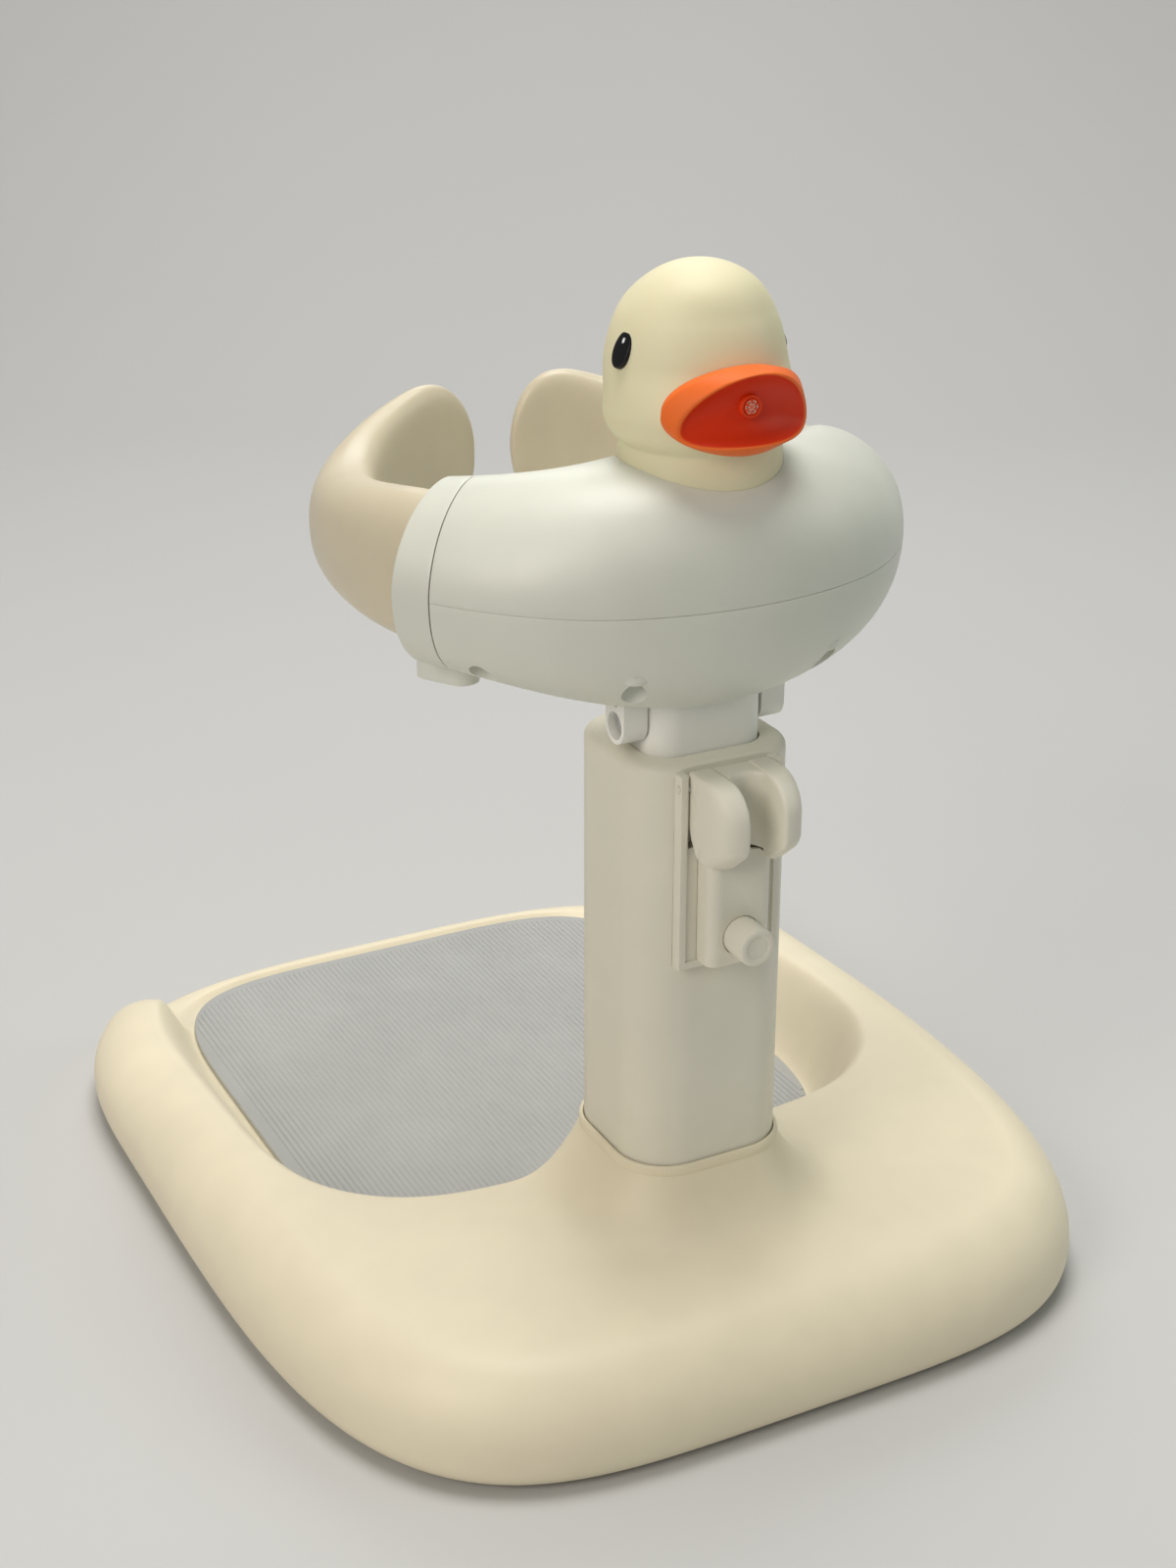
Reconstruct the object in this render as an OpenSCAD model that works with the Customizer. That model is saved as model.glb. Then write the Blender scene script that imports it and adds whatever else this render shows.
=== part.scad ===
// Duck-shaped standing aid for a baby: a moulded base with a ribbed standing mat,
// a square column with a telescoping mast and its release latch, and a hollow
// duck body whose two soft arms wrap round the child's chest.
// Millimetres. +X right, -Y front (the beak's side), +Z up.
// The origin is on the floor, under the middle of the base.

/* [Base] */
// Overall width of the base
base_w = 404; // [370:1:430]
// Overall length of the base
base_l = 480; // [450:1:530]
// Distance from the base's front edge to the column's axis
col_front = 122; // [112:1:135]
// Squareness of the base's outline
base_n = 4.2; // [3.6:0.1:5.2]
// Height of the side rails at the front
rail_h = 54; // [48:1:60]
// Drop of the rails' crest from front to back
rail_drop = 12; // [6:1:16]
// Width of a side rail, from the outer edge to the mat well
rail_w = 64; // [54:1:70]
// Width of a rail's rounded outer shoulder
shoulder_w = 32; // [26:1:36]
// Width of the curved wall down into the mat well
well_wall = 27; // [18:1:29]
// Height of the low lip at the back
lip_h = 14.5; // [13:0.5:22]
// Width of the low lip at the back
lip_w = 13; // [11:1:20]
// Distance from the back edge to the end of the rails
nose_back = 29; // [24:1:46]
// Height of the mat well's floor
well_z = 11; // [10.5:0.5:14]
// Wall of the base shell
base_wall = 3; // [2.4:0.1:4]
// Thickness of the bottom cover
cover_t = 3; // [2.5:0.1:4]
// Height of the rubber feet below the cover
foot_h = 3; // [2:0.5:4]
// Thickness of the standing mat without its ribs
mat_t = 3; // [2:0.5:5]
// Distance between two ribs of the mat
rib_pitch = 6; // [5:0.5:9]
// Height of the mat's ribs
rib_h = 0.8; // [0.5:0.1:1.2]

/* [Column] */
// Width of the column
col_w = 76; // [72:1:80]
// Depth of the column
col_d = 73; // [70:1:78]
// Corner radius of the column
col_r = 23; // [20:1:26]
// Wall of the column
col_wall = 3.5; // [3:0.1:4]
// Height of the column's top
col_top = 275; // [265:1:300]
// Height of the socket that the base raises round the column
socket_z = 86; // [76:1:96]
// Width of the socket's flare at its foot
flare_w = 38; // [30:1:42]

/* [Mast] */
// Width of the mast
mast_w = 54; // [50:1:56]
// Depth of the mast
mast_d = 47; // [44:1:50]
// Corner radius of the mast
mast_r = 12; // [9:1:14]
// Wall of the mast
mast_wall = 3; // [2.5:0.1:4]
// Height that the mast can rise
lift = 80; // [50:1:90]
// Overlap of mast and column at full height
mast_hold = 70; // [60:1:80]

/* [Latch] */
// Width of the latch frame on the column's front
frame_w = 48; // [46:1:52]
// Width of the release lever
lever_w = 39; // [37:1:41]
// Reach of the lever in front of the frame
lever_reach = 29; // [24:1:32]
// Width of the finger notch in the lever
notch_w = 16; // [14:1:18]
// Width of the cover under the lever
cover_w = 30; // [28:1:33]
// Depth of that cover in front of the frame
cover_d = 10; // [8:1:12]
// Radius of the lock button
button_r = 8.5; // [7:0.5:10]
// Length of the lock button in front of the cover
button_out = 14; // [10:1:16]
// Travel of the lock button
button_travel = 6; // [4:0.5:7]

/* [Duck body] */
// Distance from the column's axis back to the middle of the chest ring
ring_y = 94; // [90:1:100]
// Radius of the breast, from the middle of the chest ring
breast_r = 149; // [146:1:152]
// Radius of the flanks, from the middle of the chest ring
flank_r = 141; // [138:1:144]
// Radius of the body's hollow back at its middle
back_r = 61; // [57:1:64]
// Radius of the body's hollow back at the cuffs
cuff_in_r = 72; // [68:1:75]
// Gap between the ears beside the mast and the column's top
ear_gap = 4.55; // [3:0.05:8]
// Radius of the ears
ear_r = 8; // [7:0.25:9]
// How far the ears' middle lies below the body
ear_drop = 5.95; // [5:0.05:7]
// Height of the body above that joint, at its middle
body_up = 54.5; // [52:0.5:57]
// Depth of the body below that joint, at its middle
body_down = 53.5; // [51:0.5:56]
// Height of the cuffs above that joint
cuff_up = 39.5; // [38:0.5:43]
// Depth of the cuffs below that joint
cuff_down = 37.5; // [37:0.5:40]
// Angle from the front to the seam of the cuffs
seam_a = 52.5; // [50:0.5:55]
// Angle from the front to the mouth of the cuffs
mouth_a = 60; // [58:0.5:62]
// Wall of the body shells
body_wall = 2.6; // [2:0.1:3.2]

/* [Arms] */
// Radius of the arms' middle line
arm_r = 104; // [102:1:106]
// Thickness of the arms
arm_t = 36; // [32:1:38]
// Height of the arms where they leave the cuffs
arm_h = 66; // [62:1:68]
// Height of the arms at the child's sides
elbow_h = 51; // [46:1:58]
// Height of the arms' paddle-shaped tips
tip_h = 77; // [68:1:82]
// Gap between the two arms' tips
tip_gap = 20; // [16:1:30]
// Travel of an arm out of its cuff
arm_travel = 35; // [20:1:38]
// Width of the bar that carries an arm
bar_w = 12; // [10:0.5:14]
// Height of that bar
bar_h = 40; // [34:1:44]

/* [Head] */
// Radius of the neck
neck_r = 33.6; // [32:0.2:35]
// Greatest radius of the head
head_r = 39.3; // [37:0.1:42]
// How far the neck's foot lies below the top of the body
neck_sink = 7.5; // [5:0.5:10]
// Height of the head above the neck's foot
head_h = 80.5; // [76:0.5:86]
// Wall of the soft head
head_wall = 2.6; // [2:0.1:3.4]
// Width of the beak
beak_w = 64; // [58:1:66]
// Height of the beak
beak_h = 34.5; // [30:0.5:38]

/* [Hidden] */
split_z = col_top + ear_gap + ear_r + ear_drop + body_down;   // height of the joint of the body's halves

$fn = 48;
fit = 0.3;         // gap between pieces that move past each other
run = 0.05;        // radial clearance of a pin in its bore
e = 0.01;

// ---- helpers -----------------------------------------------------------

function spow(v, p) = sign(v) * pow(abs(v), p);
function mix(a, b, k) = a + (b - a) * k;
function clamp01(k) = max(0, min(1, k));
function smooth(k) = let (q = clamp01(k)) q * q * (3 - 2 * q);
function unit(v) = v / norm(v);
function oval(a, b, n, t) = [a * spow(cos(t), 2 / n), b * spow(sin(t), 2 / n)];

// A closed solid through a row of rings with equally many points, capped at both ends.
// Each ring runs anticlockwise seen from the last ring's side.
module skin(rings) {
    n = len(rings[0]);
    m = len(rings);
    polyhedron(
        points = [for (r = rings) each r],
        faces = concat(
            [[for (i = [0:n - 1]) i]],
            [for (k = [0:m - 2], i = [0:n - 1])
                [k * n + i, (k + 1) * n + i, (k + 1) * n + (i + 1) % n]],
            [for (k = [0:m - 2], i = [0:n - 1])
                [k * n + i, (k + 1) * n + (i + 1) % n, k * n + (i + 1) % n]],
            [[for (i = [n - 1:-1:0]) (m - 1) * n + i]]),
        convexity = 6);
}

module at_column() translate([0, base_l / -2 + col_front, 0]) children();
module mirrored(side) mirror([side > 0 ? 0 : 1, 0, 0]) children();

// Upright bar of rounded square section
module bar(w, d, r, h) {
    linear_extrude(h) {
        square([w - 2 * r, d], center = true);
        square([w, d - 2 * r], center = true);
        for (x = [-1, 1], y = [-1, 1]) translate([x * (w / 2 - r), y * (d / 2 - r)]) circle(r);
    }
}

// ---- base ---------------------------------------------------------------

well_front = 56;               // column's axis to the well's front, at its floor
well_n = 5;                    // squareness of the well
back_n = 3.2;                  // squareness of the base's back corners
edge_tuck = 6;                 // how far the bottom edge is tucked under
nose_len = 26;                 // length of the rounded end of a rail
deck_crown = 3;                // rise of the deck between its front and the well
cover_z = foot_h + cover_t;    // top of the bottom cover

well_a = base_w / 2 - rail_w;
well_y0 = well_front + col_front - base_l / 2;
well_y1 = base_l / 2 - lip_w;
well_mid = (well_y0 + well_y1) / 2;
well_b = (well_y1 - well_y0) / 2;

// Directions of the rings' points, closer together at the corners
quarter_turns = concat([0, 6, 12], [for (a = [15:3:48]) a], [for (a = [54:6:84]) a]);
base_turns = concat(quarter_turns, [90], [for (i = [len(quarter_turns) - 1:-1:0]) 180 - quarter_turns[i]],
    [for (i = [1:len(quarter_turns) - 1]) 180 + quarter_turns[i]], [270],
    [for (i = [len(quarter_turns) - 1:-1:1]) 360 - quarter_turns[i]]);

function half_len(s) = base_l / 2 + (s < 0 ? well_mid : -well_mid);
function corner_n(s) = s < 0 ? base_n : back_n;
function edge_rel(t) = oval(base_w / 2, half_len(sin(t)), corner_n(sin(t)), t);
function ray(t) = unit(edge_rel(t));
function reach(v, a, b, n) = pow(pow(abs(v[0]) / a, n) + pow(abs(v[1]) / b, n), -1 / n);
function out_normal(p, a, b, n) = unit([spow(p[0] / a, n - 1) / a, spow(p[1] / b, n - 1) / b]);
function edge_len(t) = norm(edge_rel(t));
function well_len(t) = reach(ray(t), well_a, well_b, well_n);
function edge_cos(t) = max(0.4, ray(t) * out_normal(edge_rel(t), base_w / 2, half_len(sin(t)), corner_n(sin(t))));
function well_cos(t) = max(0.4, ray(t) * out_normal(ray(t) * well_len(t), well_a, well_b, well_n));

// Height of the rails' and the deck's crest at a place along the base
function rail_z(y) = rail_h - rail_drop * smooth((y - well_y0) / (well_y1 - well_y0 - nose_back));
function crest_z(y) = let (k = 1 - (base_l / 2 - y - nose_back) / nose_len)
    k <= 0 ? rail_z(y) : lip_h + (rail_z(y) - lip_h) * sqrt(max(0, 1 - k * k));
function side_z(h) = min(16, 0.6 * h);

// A ring point: d inwards from the outer edge along the ray, at height z
function from_edge(t, d, z) = let (p = ray(t) * (edge_len(t) - d)) [p[0], p[1] + well_mid, z];
function from_well(t, d, z) = let (p = ray(t) * (well_len(t) + d)) [p[0], p[1] + well_mid, z];
function edge_y(t) = edge_rel(t)[1] + well_mid;
function band(t) = edge_len(t) - well_len(t);
function shoulder(t) = min(shoulder_w / edge_cos(t), 0.58 * band(t));
function wall_share(w) = w * mix(0.36, 0.43, clamp01((w - 20) / 40));
function wall_run(t) = min(well_wall / well_cos(t), wall_share(band(t)));

function outer_ring(d, z) = [for (t = base_turns) from_edge(t, d / edge_cos(t), z)];
function shoulder_ring(ph, w) = [for (t = base_turns)
    let (h = crest_z(edge_y(t)), z0 = side_z(h))
    from_edge(t, mix(shoulder(t), w, cos(ph)), z0 + (h - min(w, 0.2 * h) - z0) * sin(ph))];
function deck_ring(w) = [for (t = base_turns)
    let (rest = band(t) - shoulder(t) - wall_run(t))
    from_edge(t, shoulder(t) + rest / 2, crest_z(edge_y(t)) - min(w, 0.2 * crest_z(edge_y(t)))
        + deck_crown * clamp01(rest / base_w * 4))];
function well_ring(k, w) = [for (t = base_turns)
    let (h = crest_z(edge_y(t)))
    from_well(t, wall_run(t) * (1 - k) + w * min(1, 2 * k) * min(1, band(t) / 16), mix(h, well_z, smooth(k)) - min(w, 0.2 * h))];

module base_body() {
    w = base_wall;
    skin(concat(
        [[for (t = base_turns) from_well(t, w * min(1, band(t) / 16), well_z - w)]],
        [well_ring(0.5, w), well_ring(0, w), shoulder_ring(90, w), shoulder_ring(45, w)],
        [[for (t = base_turns) from_edge(t, w / edge_cos(t), side_z(crest_z(edge_y(t))))]],
        [outer_ring(edge_tuck + w, foot_h)],
        [outer_ring(edge_tuck, foot_h), outer_ring(edge_tuck * 0.3, foot_h + 4)],
        [for (ph = [0, 18, 36, 54, 72, 90]) shoulder_ring(ph, 0)],
        [deck_ring(0)],
        [for (k = [0, 0.22, 0.45, 0.7, 1]) well_ring(k, 0)]));
}

// Height of the base's upper surface at a place seen from the middle of the well
function ground_z(p) =
    let (v = unit(p), edge = reach(v, base_w / 2, half_len(v[1]), corner_n(v[1])), well = reach(v, well_a, well_b, well_n),
        width = edge - well, wall = min(well_wall / well_slant(v, well), wall_share(width)),
        h = crest_z(v[1] * edge + well_mid), k = (well + wall - norm(p)) / wall)
    norm(p) < well ? well_z : k > 0 ? mix(h, well_z, smooth(k)) : h;
function well_slant(v, len) = max(0.4, v * out_normal(v * len, well_a, well_b, well_n));

// Socket round the column: its rings lie d outside the column's rounded square
socket_lip = 1.6;
socket_sink = 1.5;
col_gap = 0.4;
flare_power = 2.9;
corner_steps = 6;
function around(i) = let (c = floor(i / (corner_steps + 1)), a = 90 * c + 90 / corner_steps * (i % (corner_steps + 1)))
    [cos(a), sin(a), c == 0 || c == 3 ? 1 : -1, c < 2 ? 1 : -1];
function socket_pt(i, d) = let (q = around(i))
    [q[2] * (col_w / 2 - col_r) + q[0] * (col_r + d), q[3] * (col_d / 2 - col_r) + q[1] * (col_r + d)];
function socket_level(d, z) = [for (i = [0:4 * corner_steps + 3]) [each socket_pt(i, d), z]];
function socket_ring(u) = [for (i = [0:4 * corner_steps + 3])
    let (p = socket_pt(i, flare_w * u), z = ground_z(p + [0, col_front - base_l / 2 - well_mid]) - socket_sink * u)
    [each p, mix(max(z, foot_z + 0.6), socket_z, pow(1 - u, flare_power))]];

module socket_body() skin(concat(
    [socket_level(flare_w, foot_z + fit)],
    [for (u = [1, 0.8, 0.62, 0.46, 0.32, 0.2, 0.11]) socket_ring(u)],
    [socket_level(socket_lip + 0.4, socket_z - 4), socket_level(socket_lip, socket_z - 0.5),
        socket_level(socket_lip - 0.5, socket_z)]));

// Places of the screws that hold the bottom cover, in the frame of the base
screw_x = base_w / 2 - shoulder_w;
screw_ys = [-base_l / 2 + 72, well_y0 + 70, well_y1 - 95];
screw_places = [for (x = [-1, 1], y = screw_ys) [x * (y < well_y0 ? screw_x - 24 : screw_x), y]];
screw_r = 1.7;
boss_r = 4.5;
plate_w = 108;
plate_d = 84;
plate_t = 4;
foot_bolt = [43, 35];           // half the spacings of the column's bolts

module base_shell() color("antiquewhite") difference() {
    union() {
        base_body();
        at_column() socket_body();
        for (p = screw_places) translate([p[0], p[1], cover_z])
            cylinder(r = boss_r, h = rail_z(p[1]) - base_wall + 1 - cover_z);
    }
    at_column() translate([0, 0, cover_z - e]) bar(col_w + 2 * col_gap, col_d + 2 * col_gap, col_r + col_gap, socket_z);
    // hollows cored out of the socket's block from below
    at_column() for (s = [-1, 1]) translate([s * (col_w / 2 + 14), 0, cover_z - e])
        translate([-8, -18, 0]) cube([16, 36, rail_h - cover_z - 8]);
    at_column() translate([-20, -col_d / 2 - 22, cover_z - e]) cube([40, 16, rail_h - cover_z - 8]);
    for (p = screw_places) translate([p[0], p[1], cover_z - 1]) cylinder(r = screw_r, h = 16);
}

foot_places = concat(
    [for (x = [-1, 1], y = [-base_l / 2 + 55, well_y1 - 30]) [x * (well_a - 20), y]],
    [for (x = [-1, 1]) [x * (well_a - 4), well_y0 + 80]]);
foot_r = 13;
foot_stem = 4;

rib_inset = 16;
module base_cover() color("gainsboro") difference() {
    union() {
        translate([0, 0, foot_h]) linear_extrude(cover_t)
            polygon([for (t = base_turns) let (p = from_edge(t, (edge_tuck + base_wall) / edge_cos(t) + fit, 0)) [p[0], p[1]]]);
        // ribs that carry the floor of the mat well
        for (x = [-2:2]) translate([x * well_a / 2.6 - 1, well_y0 + 24, cover_z - e])
            cube([2, well_y1 - well_y0 - 48, well_z - base_wall - cover_z + e]);
        for (k = [1:3]) translate([rib_inset - well_a, mix(well_y0, well_y1, k / 4) - 1, cover_z - e])
            cube([2 * well_a - 2 * rib_inset, 2, well_z - base_wall - cover_z + e]);
    }
    for (p = foot_places) translate([p[0], p[1], 0]) cylinder(r = foot_stem + run, h = cover_z + 1);
    for (p = screw_places) translate([p[0], p[1], 0]) {
        cylinder(r = screw_r + 0.3, h = cover_z + 1);
        cylinder(r = 3.6, h = foot_h + 1.6);
    }
    at_column() for (x = [-1, 1], y = [-1, 1]) translate([x * foot_bolt[0], y * foot_bolt[1], 0]) {
        cylinder(r = 2.8, h = cover_z + 1);
        cylinder(r = 5, h = foot_h + 1.8);
    }
}

module rubber_feet() color("dimgray") for (p = foot_places) translate([p[0], p[1], 0]) {
    cylinder(r1 = foot_r - 1, r2 = foot_r, h = foot_h);
    cylinder(r = foot_stem, h = cover_z);
}

module base_screws() color("silver") for (p = screw_places) translate([p[0], p[1], foot_h]) {
    translate([0, 0, 0.2]) cylinder(r = 3.3, h = 1.4);
    cylinder(r = screw_r - run, h = cover_t + 12);
}

mat_gap = 1;
function mat_outline(d) = [for (t = base_turns) let (p = from_well(t, -d, 0)) [p[0], p[1]]];

module standing_mat() color("lightsteelblue") union() {
    translate([0, 0, well_z]) linear_extrude(mat_t) difference() {
        polygon(mat_outline(mat_gap));
        translate([0, -base_l / 2 + col_front]) square([col_w + 2 * flare_w + 2, col_d + 2 * flare_w + 2], center = true);
    }
    ribs = floor((well_a - 10) / rib_pitch);
    rib_y0 = -base_l / 2 + col_front + col_d / 2 + flare_w + 8;
    for (i = [-ribs:ribs]) {
        side = abs(i) * rib_pitch / well_a;
        trim = 7 + (1 - pow(1 - pow(side, well_n), 1 / well_n)) * well_b;
        translate([i * rib_pitch - rib_pitch / 5, max(rib_y0, well_y0 + trim), well_z + mat_t - e])
            cube([rib_pitch / 2.5, well_y1 - trim - max(rib_y0, well_y0 + trim), rib_h + e]);
    }
}

// ---- column ---------------------------------------------------------------

foot_z = cover_z + plate_t;    // bottom of the column tube
sleeve_h = 46;
top_deck = 5;                  // thickness of the column's top
top_round = 4;                 // rounding of the column's top edge
front_y = -col_d / 2;
frame_t = 4;                   // frame in front of the column's face
frame_back = front_y + 2;      // flat that the frame sits on
frame_z0 = col_top - 90;
frame_y = front_y - frame_t;   // front of the frame
pivot_y = frame_back - 3.2;
pivot_z = col_top - 8;
pin_r = 2;
barrel_r = 2.9;

module column_foot() color("silver") at_column() difference() {
    union() {
        translate([0, 0, cover_z]) bar(plate_w, plate_d, 10, plate_t);
        translate([0, 0, foot_z - e])
            bar(col_w - 2 * col_wall - 2 * fit, col_d - 2 * col_wall - 2 * fit, col_r - col_wall - fit, sleeve_h);
    }
    translate([0, 0, cover_z - 1])
        bar(col_w - 2 * col_wall - 9, col_d - 2 * col_wall - 9, col_r - col_wall - 4.5, sleeve_h + plate_t + 2);
    for (x = [-1, 1], y = [-1, 1]) translate([x * foot_bolt[0], y * foot_bolt[1], cover_z - 1])
        cylinder(r = 2.4, h = plate_t + 2);
}

module column_screws() color("silver") at_column()
    for (x = [-1, 1], y = [-1, 1]) translate([x * foot_bolt[0], y * foot_bolt[1], foot_h]) {
        translate([0, 0, 0.2]) cylinder(r = 4.6, h = 1.6);
        cylinder(r = 2.35, h = cover_t + plate_t);
    }

// Top of the column with its edge rounded off all round
module column_cap() {
    r = top_round;
    translate([0, 0, col_top - r]) {
        for (x = [-1, 1], y = [-1, 1]) translate([x * (col_w / 2 - col_r), y * (col_d / 2 - col_r), 0])
            rotate_extrude($fn = 64) intersection() {
                union() {
                    translate([col_r - r, 0]) circle(r);
                    square([col_r - r, r]);
                }
                square([col_r + 1, r + 1]);
            }
        for (s = [-1, 1]) {
            translate([s * (col_w / 2 - r), 0, 0]) rotate([90, 0, 0]) linear_extrude(col_d - 2 * col_r, center = true) edge_round(r);
            translate([0, s * (col_d / 2 - r), 0]) rotate([90, 0, 90]) linear_extrude(col_w - 2 * col_r, center = true) edge_round(r);
        }
        translate([r - col_w / 2, col_r - col_d / 2, 0]) cube([col_w - 2 * r, col_d - 2 * col_r, r]);
        translate([col_r - col_w / 2, r - col_d / 2, 0]) cube([col_w - 2 * col_r, col_d - 2 * r, r]);
    }
}
module edge_round(r) intersection() {
    circle(r);
    translate([-r, 0]) square(2 * r);
}

module column_tube() color("linen") at_column() difference() {
    union() {
        translate([0, 0, foot_z]) bar(col_w, col_d, col_r, col_top - top_round - foot_z);
        column_cap();
    }
    translate([0, 0, foot_z - 1])
        bar(col_w - 2 * col_wall, col_d - 2 * col_wall, col_r - col_wall, col_top - foot_z - top_deck + 1);
    bar(mast_w + 2 * fit, mast_d + 2 * fit, mast_r + fit, col_top + 1);
    // flat and window for the latch
    translate([-frame_w / 2 - 0.2, front_y - 5, frame_z0 - 0.2]) cube([frame_w + 0.4, 5 + frame_back - front_y, 100]);
    translate([-shoe_w / 2 - fit, front_y - 1, shoe_z0 - fit]) cube([shoe_w + 2 * fit, col_wall + 2, shoe_h + 2 * fit]);
}

// ---- latch ----------------------------------------------------------------

shoe_w = 22;
shoe_h = 16;
shoe_z0 = col_top - 48;
shoe_gap = 0.3;                // running gap between shoe and mast
shoe_face = -mast_d / 2 - shoe_gap;
lever_gap = 0.4;
cover_front = frame_y - cover_d;
cover_wall = 2.4;
cover_r = 5;
cover_z1 = col_top - 35.5;
cover_z0 = frame_z0 + 3;
button_up = 16;
button_z = frame_z0 + button_up;

module latch_frame() color("linen") at_column() difference() {
    translate([-frame_w / 2, frame_y, frame_z0]) cube([frame_w, frame_back - frame_y, col_top - 2 - frame_z0]);
    // opening for the lever and the cover
    translate([-lever_w / 2 - lever_gap, frame_y - 1, cover_z1 + 1])
        cube([lever_w + 2 * lever_gap, 20, col_top - cover_z1]);
    translate([-cover_w / 2 - 0.2, frame_y - 1, cover_z0]) cube([cover_w + 0.4, 20, 40 + cover_z1 - cover_z0]);
    // shallow step beside the cover
    for (s = [-1, 1]) translate([s * (cover_w / 2 + frame_w / 2 - 3) / 2 - (frame_w / 2 - 3 - cover_w / 2) / 2,
        frame_y - 1, cover_z0]) cube([frame_w / 2 - 3 - cover_w / 2, 2.2, col_top]);
    translate([0, pivot_y, pivot_z]) rotate([0, 90, 0]) cylinder(r = pin_r + e, h = frame_w + 2, center = true);
}

module latch_cover() color("linen") at_column() difference() {
    translate([0, 0, cover_z0 + 0.2]) linear_extrude(cover_z1 - cover_z0 - 0.2) {
        translate([-cover_w / 2, cover_front + cover_r]) square([cover_w, frame_back - cover_front - cover_r]);
        translate([cover_r - cover_w / 2, cover_front]) square([cover_w - 2 * cover_r, 2 * cover_r]);
        for (s = [-1, 1]) translate([s * (cover_w / 2 - cover_r), cover_front + cover_r]) circle(cover_r);
    }
    translate([-cover_w / 2 + cover_wall, cover_front + cover_wall, cover_z0 + 0.2 + cover_wall])
        cube([cover_w - 2 * cover_wall, 30, cover_z1 - cover_z0]);
    translate([0, cover_front + 10, button_z]) rotate([90, 0, 0]) cylinder(r = button_r + fit, h = 12);
}

// Rounded outline of a lever horn seen from the side: y forwards from the pivot's side, z up
horn_steps = 5;
function arc2(c, r, a0, a1) = [for (i = [0:horn_steps]) let (a = mix(a0, a1, i / horn_steps)) c + r * [cos(a), sin(a)]];
function horn_outline(d) =
    let (f = frame_y - lever_reach + d, b = frame_y - 0.5 - d, top = col_top - 1 - d, low = col_top - 38 + d,
        r1 = 15 - d, r2 = max(1, 5 - d), r3 = max(2, 5 - d / 2), r4 = 9 - d / 2)
    concat(arc2([f + r1, top - r1], r1, 180, 90), arc2([b - r2, top - r2], r2, 70, 0),
        [[b, low + 11]], arc2([f + 8 + r3, low + r3], r3, 300, 250), arc2([f + r4, low + 5 + r4], r4, 230, 180));

module horn(side) {
    steps = [[0, 7], [1.2, 3.6], [3.4, 1.2], [6.5, 0], [9, 0], [10.6, 0.8], [(lever_w - notch_w) / 2, 2.6]];
    x0 = lever_w / 2;
    mirrored(side) skin([for (q = steps) [for (p = horn_outline(q[1])) [x0 - q[0], p[0], p[1]]]]);
}

web_down = 32;
web_h = 27;
module release_lever() color("linen") at_column() difference() {
    union() {
        for (s = [-1, 1]) horn(s);
        translate([-notch_w / 2 - 2.6, frame_y - 8, col_top - web_down]) cube([notch_w + 5.2, 7.5, web_h]);
        translate([0, pivot_y, pivot_z]) rotate([0, 90, 0]) cylinder(r = barrel_r, h = lever_w - 3, center = true);
        translate([1.5 - lever_w / 2, frame_y - 4, pivot_z - barrel_r]) cube([lever_w - 3, pivot_y - frame_y + 4, 2 * barrel_r]);
        translate([1.5 - lever_w / 2, frame_y - 4, pivot_z - barrel_r]) cube([lever_w - 3, 4, barrel_r + 5]);
    }
    translate([0, pivot_y, pivot_z]) rotate([0, 90, 0]) cylinder(r = pin_r + run, h = lever_w + 20, center = true);
}

module lever_pin() color("silver") at_column() translate([0, pivot_y, pivot_z]) rotate([0, 90, 0])
    cylinder(r = pin_r, h = frame_w - 2, center = true);

module clamp_shoe() color("dimgray") at_column() union() {
    translate([-shoe_w / 2, front_y - 2, shoe_z0]) cube([shoe_w, shoe_face - front_y + 2, shoe_h]);
    translate([-shoe_w / 2 + 4, front_y - 5, shoe_z0 + 2]) cube([shoe_w - 8, 4, 8]);
}

// Open coil from y0 to y1 along +Y (axis through the origin) of turns, mean radius r and wire w
coil_sides = 5;
coil_steps = 9;
function coil_ring(k, n, r, w, len) = let (a = 360 * k / coil_steps, t = mix(w / 2, len - w / 2, k / n))
    [for (j = [0:coil_sides - 1]) let (b = 360 * j / coil_sides)
        [(r + w / 2 * cos(b)) * cos(a), t + w / 2 * sin(b), (r + w / 2 * cos(b)) * sin(a)]];
module coil(turns, r, w, len) {
    n = round(turns * coil_steps);
    skin([for (k = [0:n]) coil_ring(n - k, n, r, w, len)]);
}

spring_w = 0.9;
module clamp_spring() color("silver") at_column()
    translate([0, cover_front + cover_wall, shoe_z0 + 6]) coil(4, 3, spring_w, front_y - 5 - cover_front - cover_wall);

module lock_button() color("linen") at_column() translate([0, cover_front - button_out, button_z]) rotate([-90, 0, 0])
    difference() {
        union() {
            cylinder(r1 = button_r - 1.2, r2 = button_r, h = 1.6);
            translate([0, 0, 1.6 - e]) cylinder(r = button_r, h = button_out + 1.4);
            translate([0, 0, button_out + cover_wall + fit]) cylinder(r = button_r + 1, h = 1.8);
        }
        translate([0, 0, -e]) cylinder(r1 = button_r - 2.6, r2 = button_r - 3.4, h = 1);
        translate([0, 0, button_out]) cylinder(r = 4.4, h = 20);
    }

module button_spring() color("silver") at_column() translate([0, cover_front + 0.6, button_z])
    coil(5, 3.2, spring_w, frame_back - cover_front - 0.8);

// ---- mast -----------------------------------------------------------------

mast_z0 = col_top - lift - mast_hold;
mast_z1 = split_z - 14;
shoe_len = 26;
bolt_y = -9;
bolt_z = split_z - body_down - ear_drop;
ear_w = 11;
bolt_r = 2.5;

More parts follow.
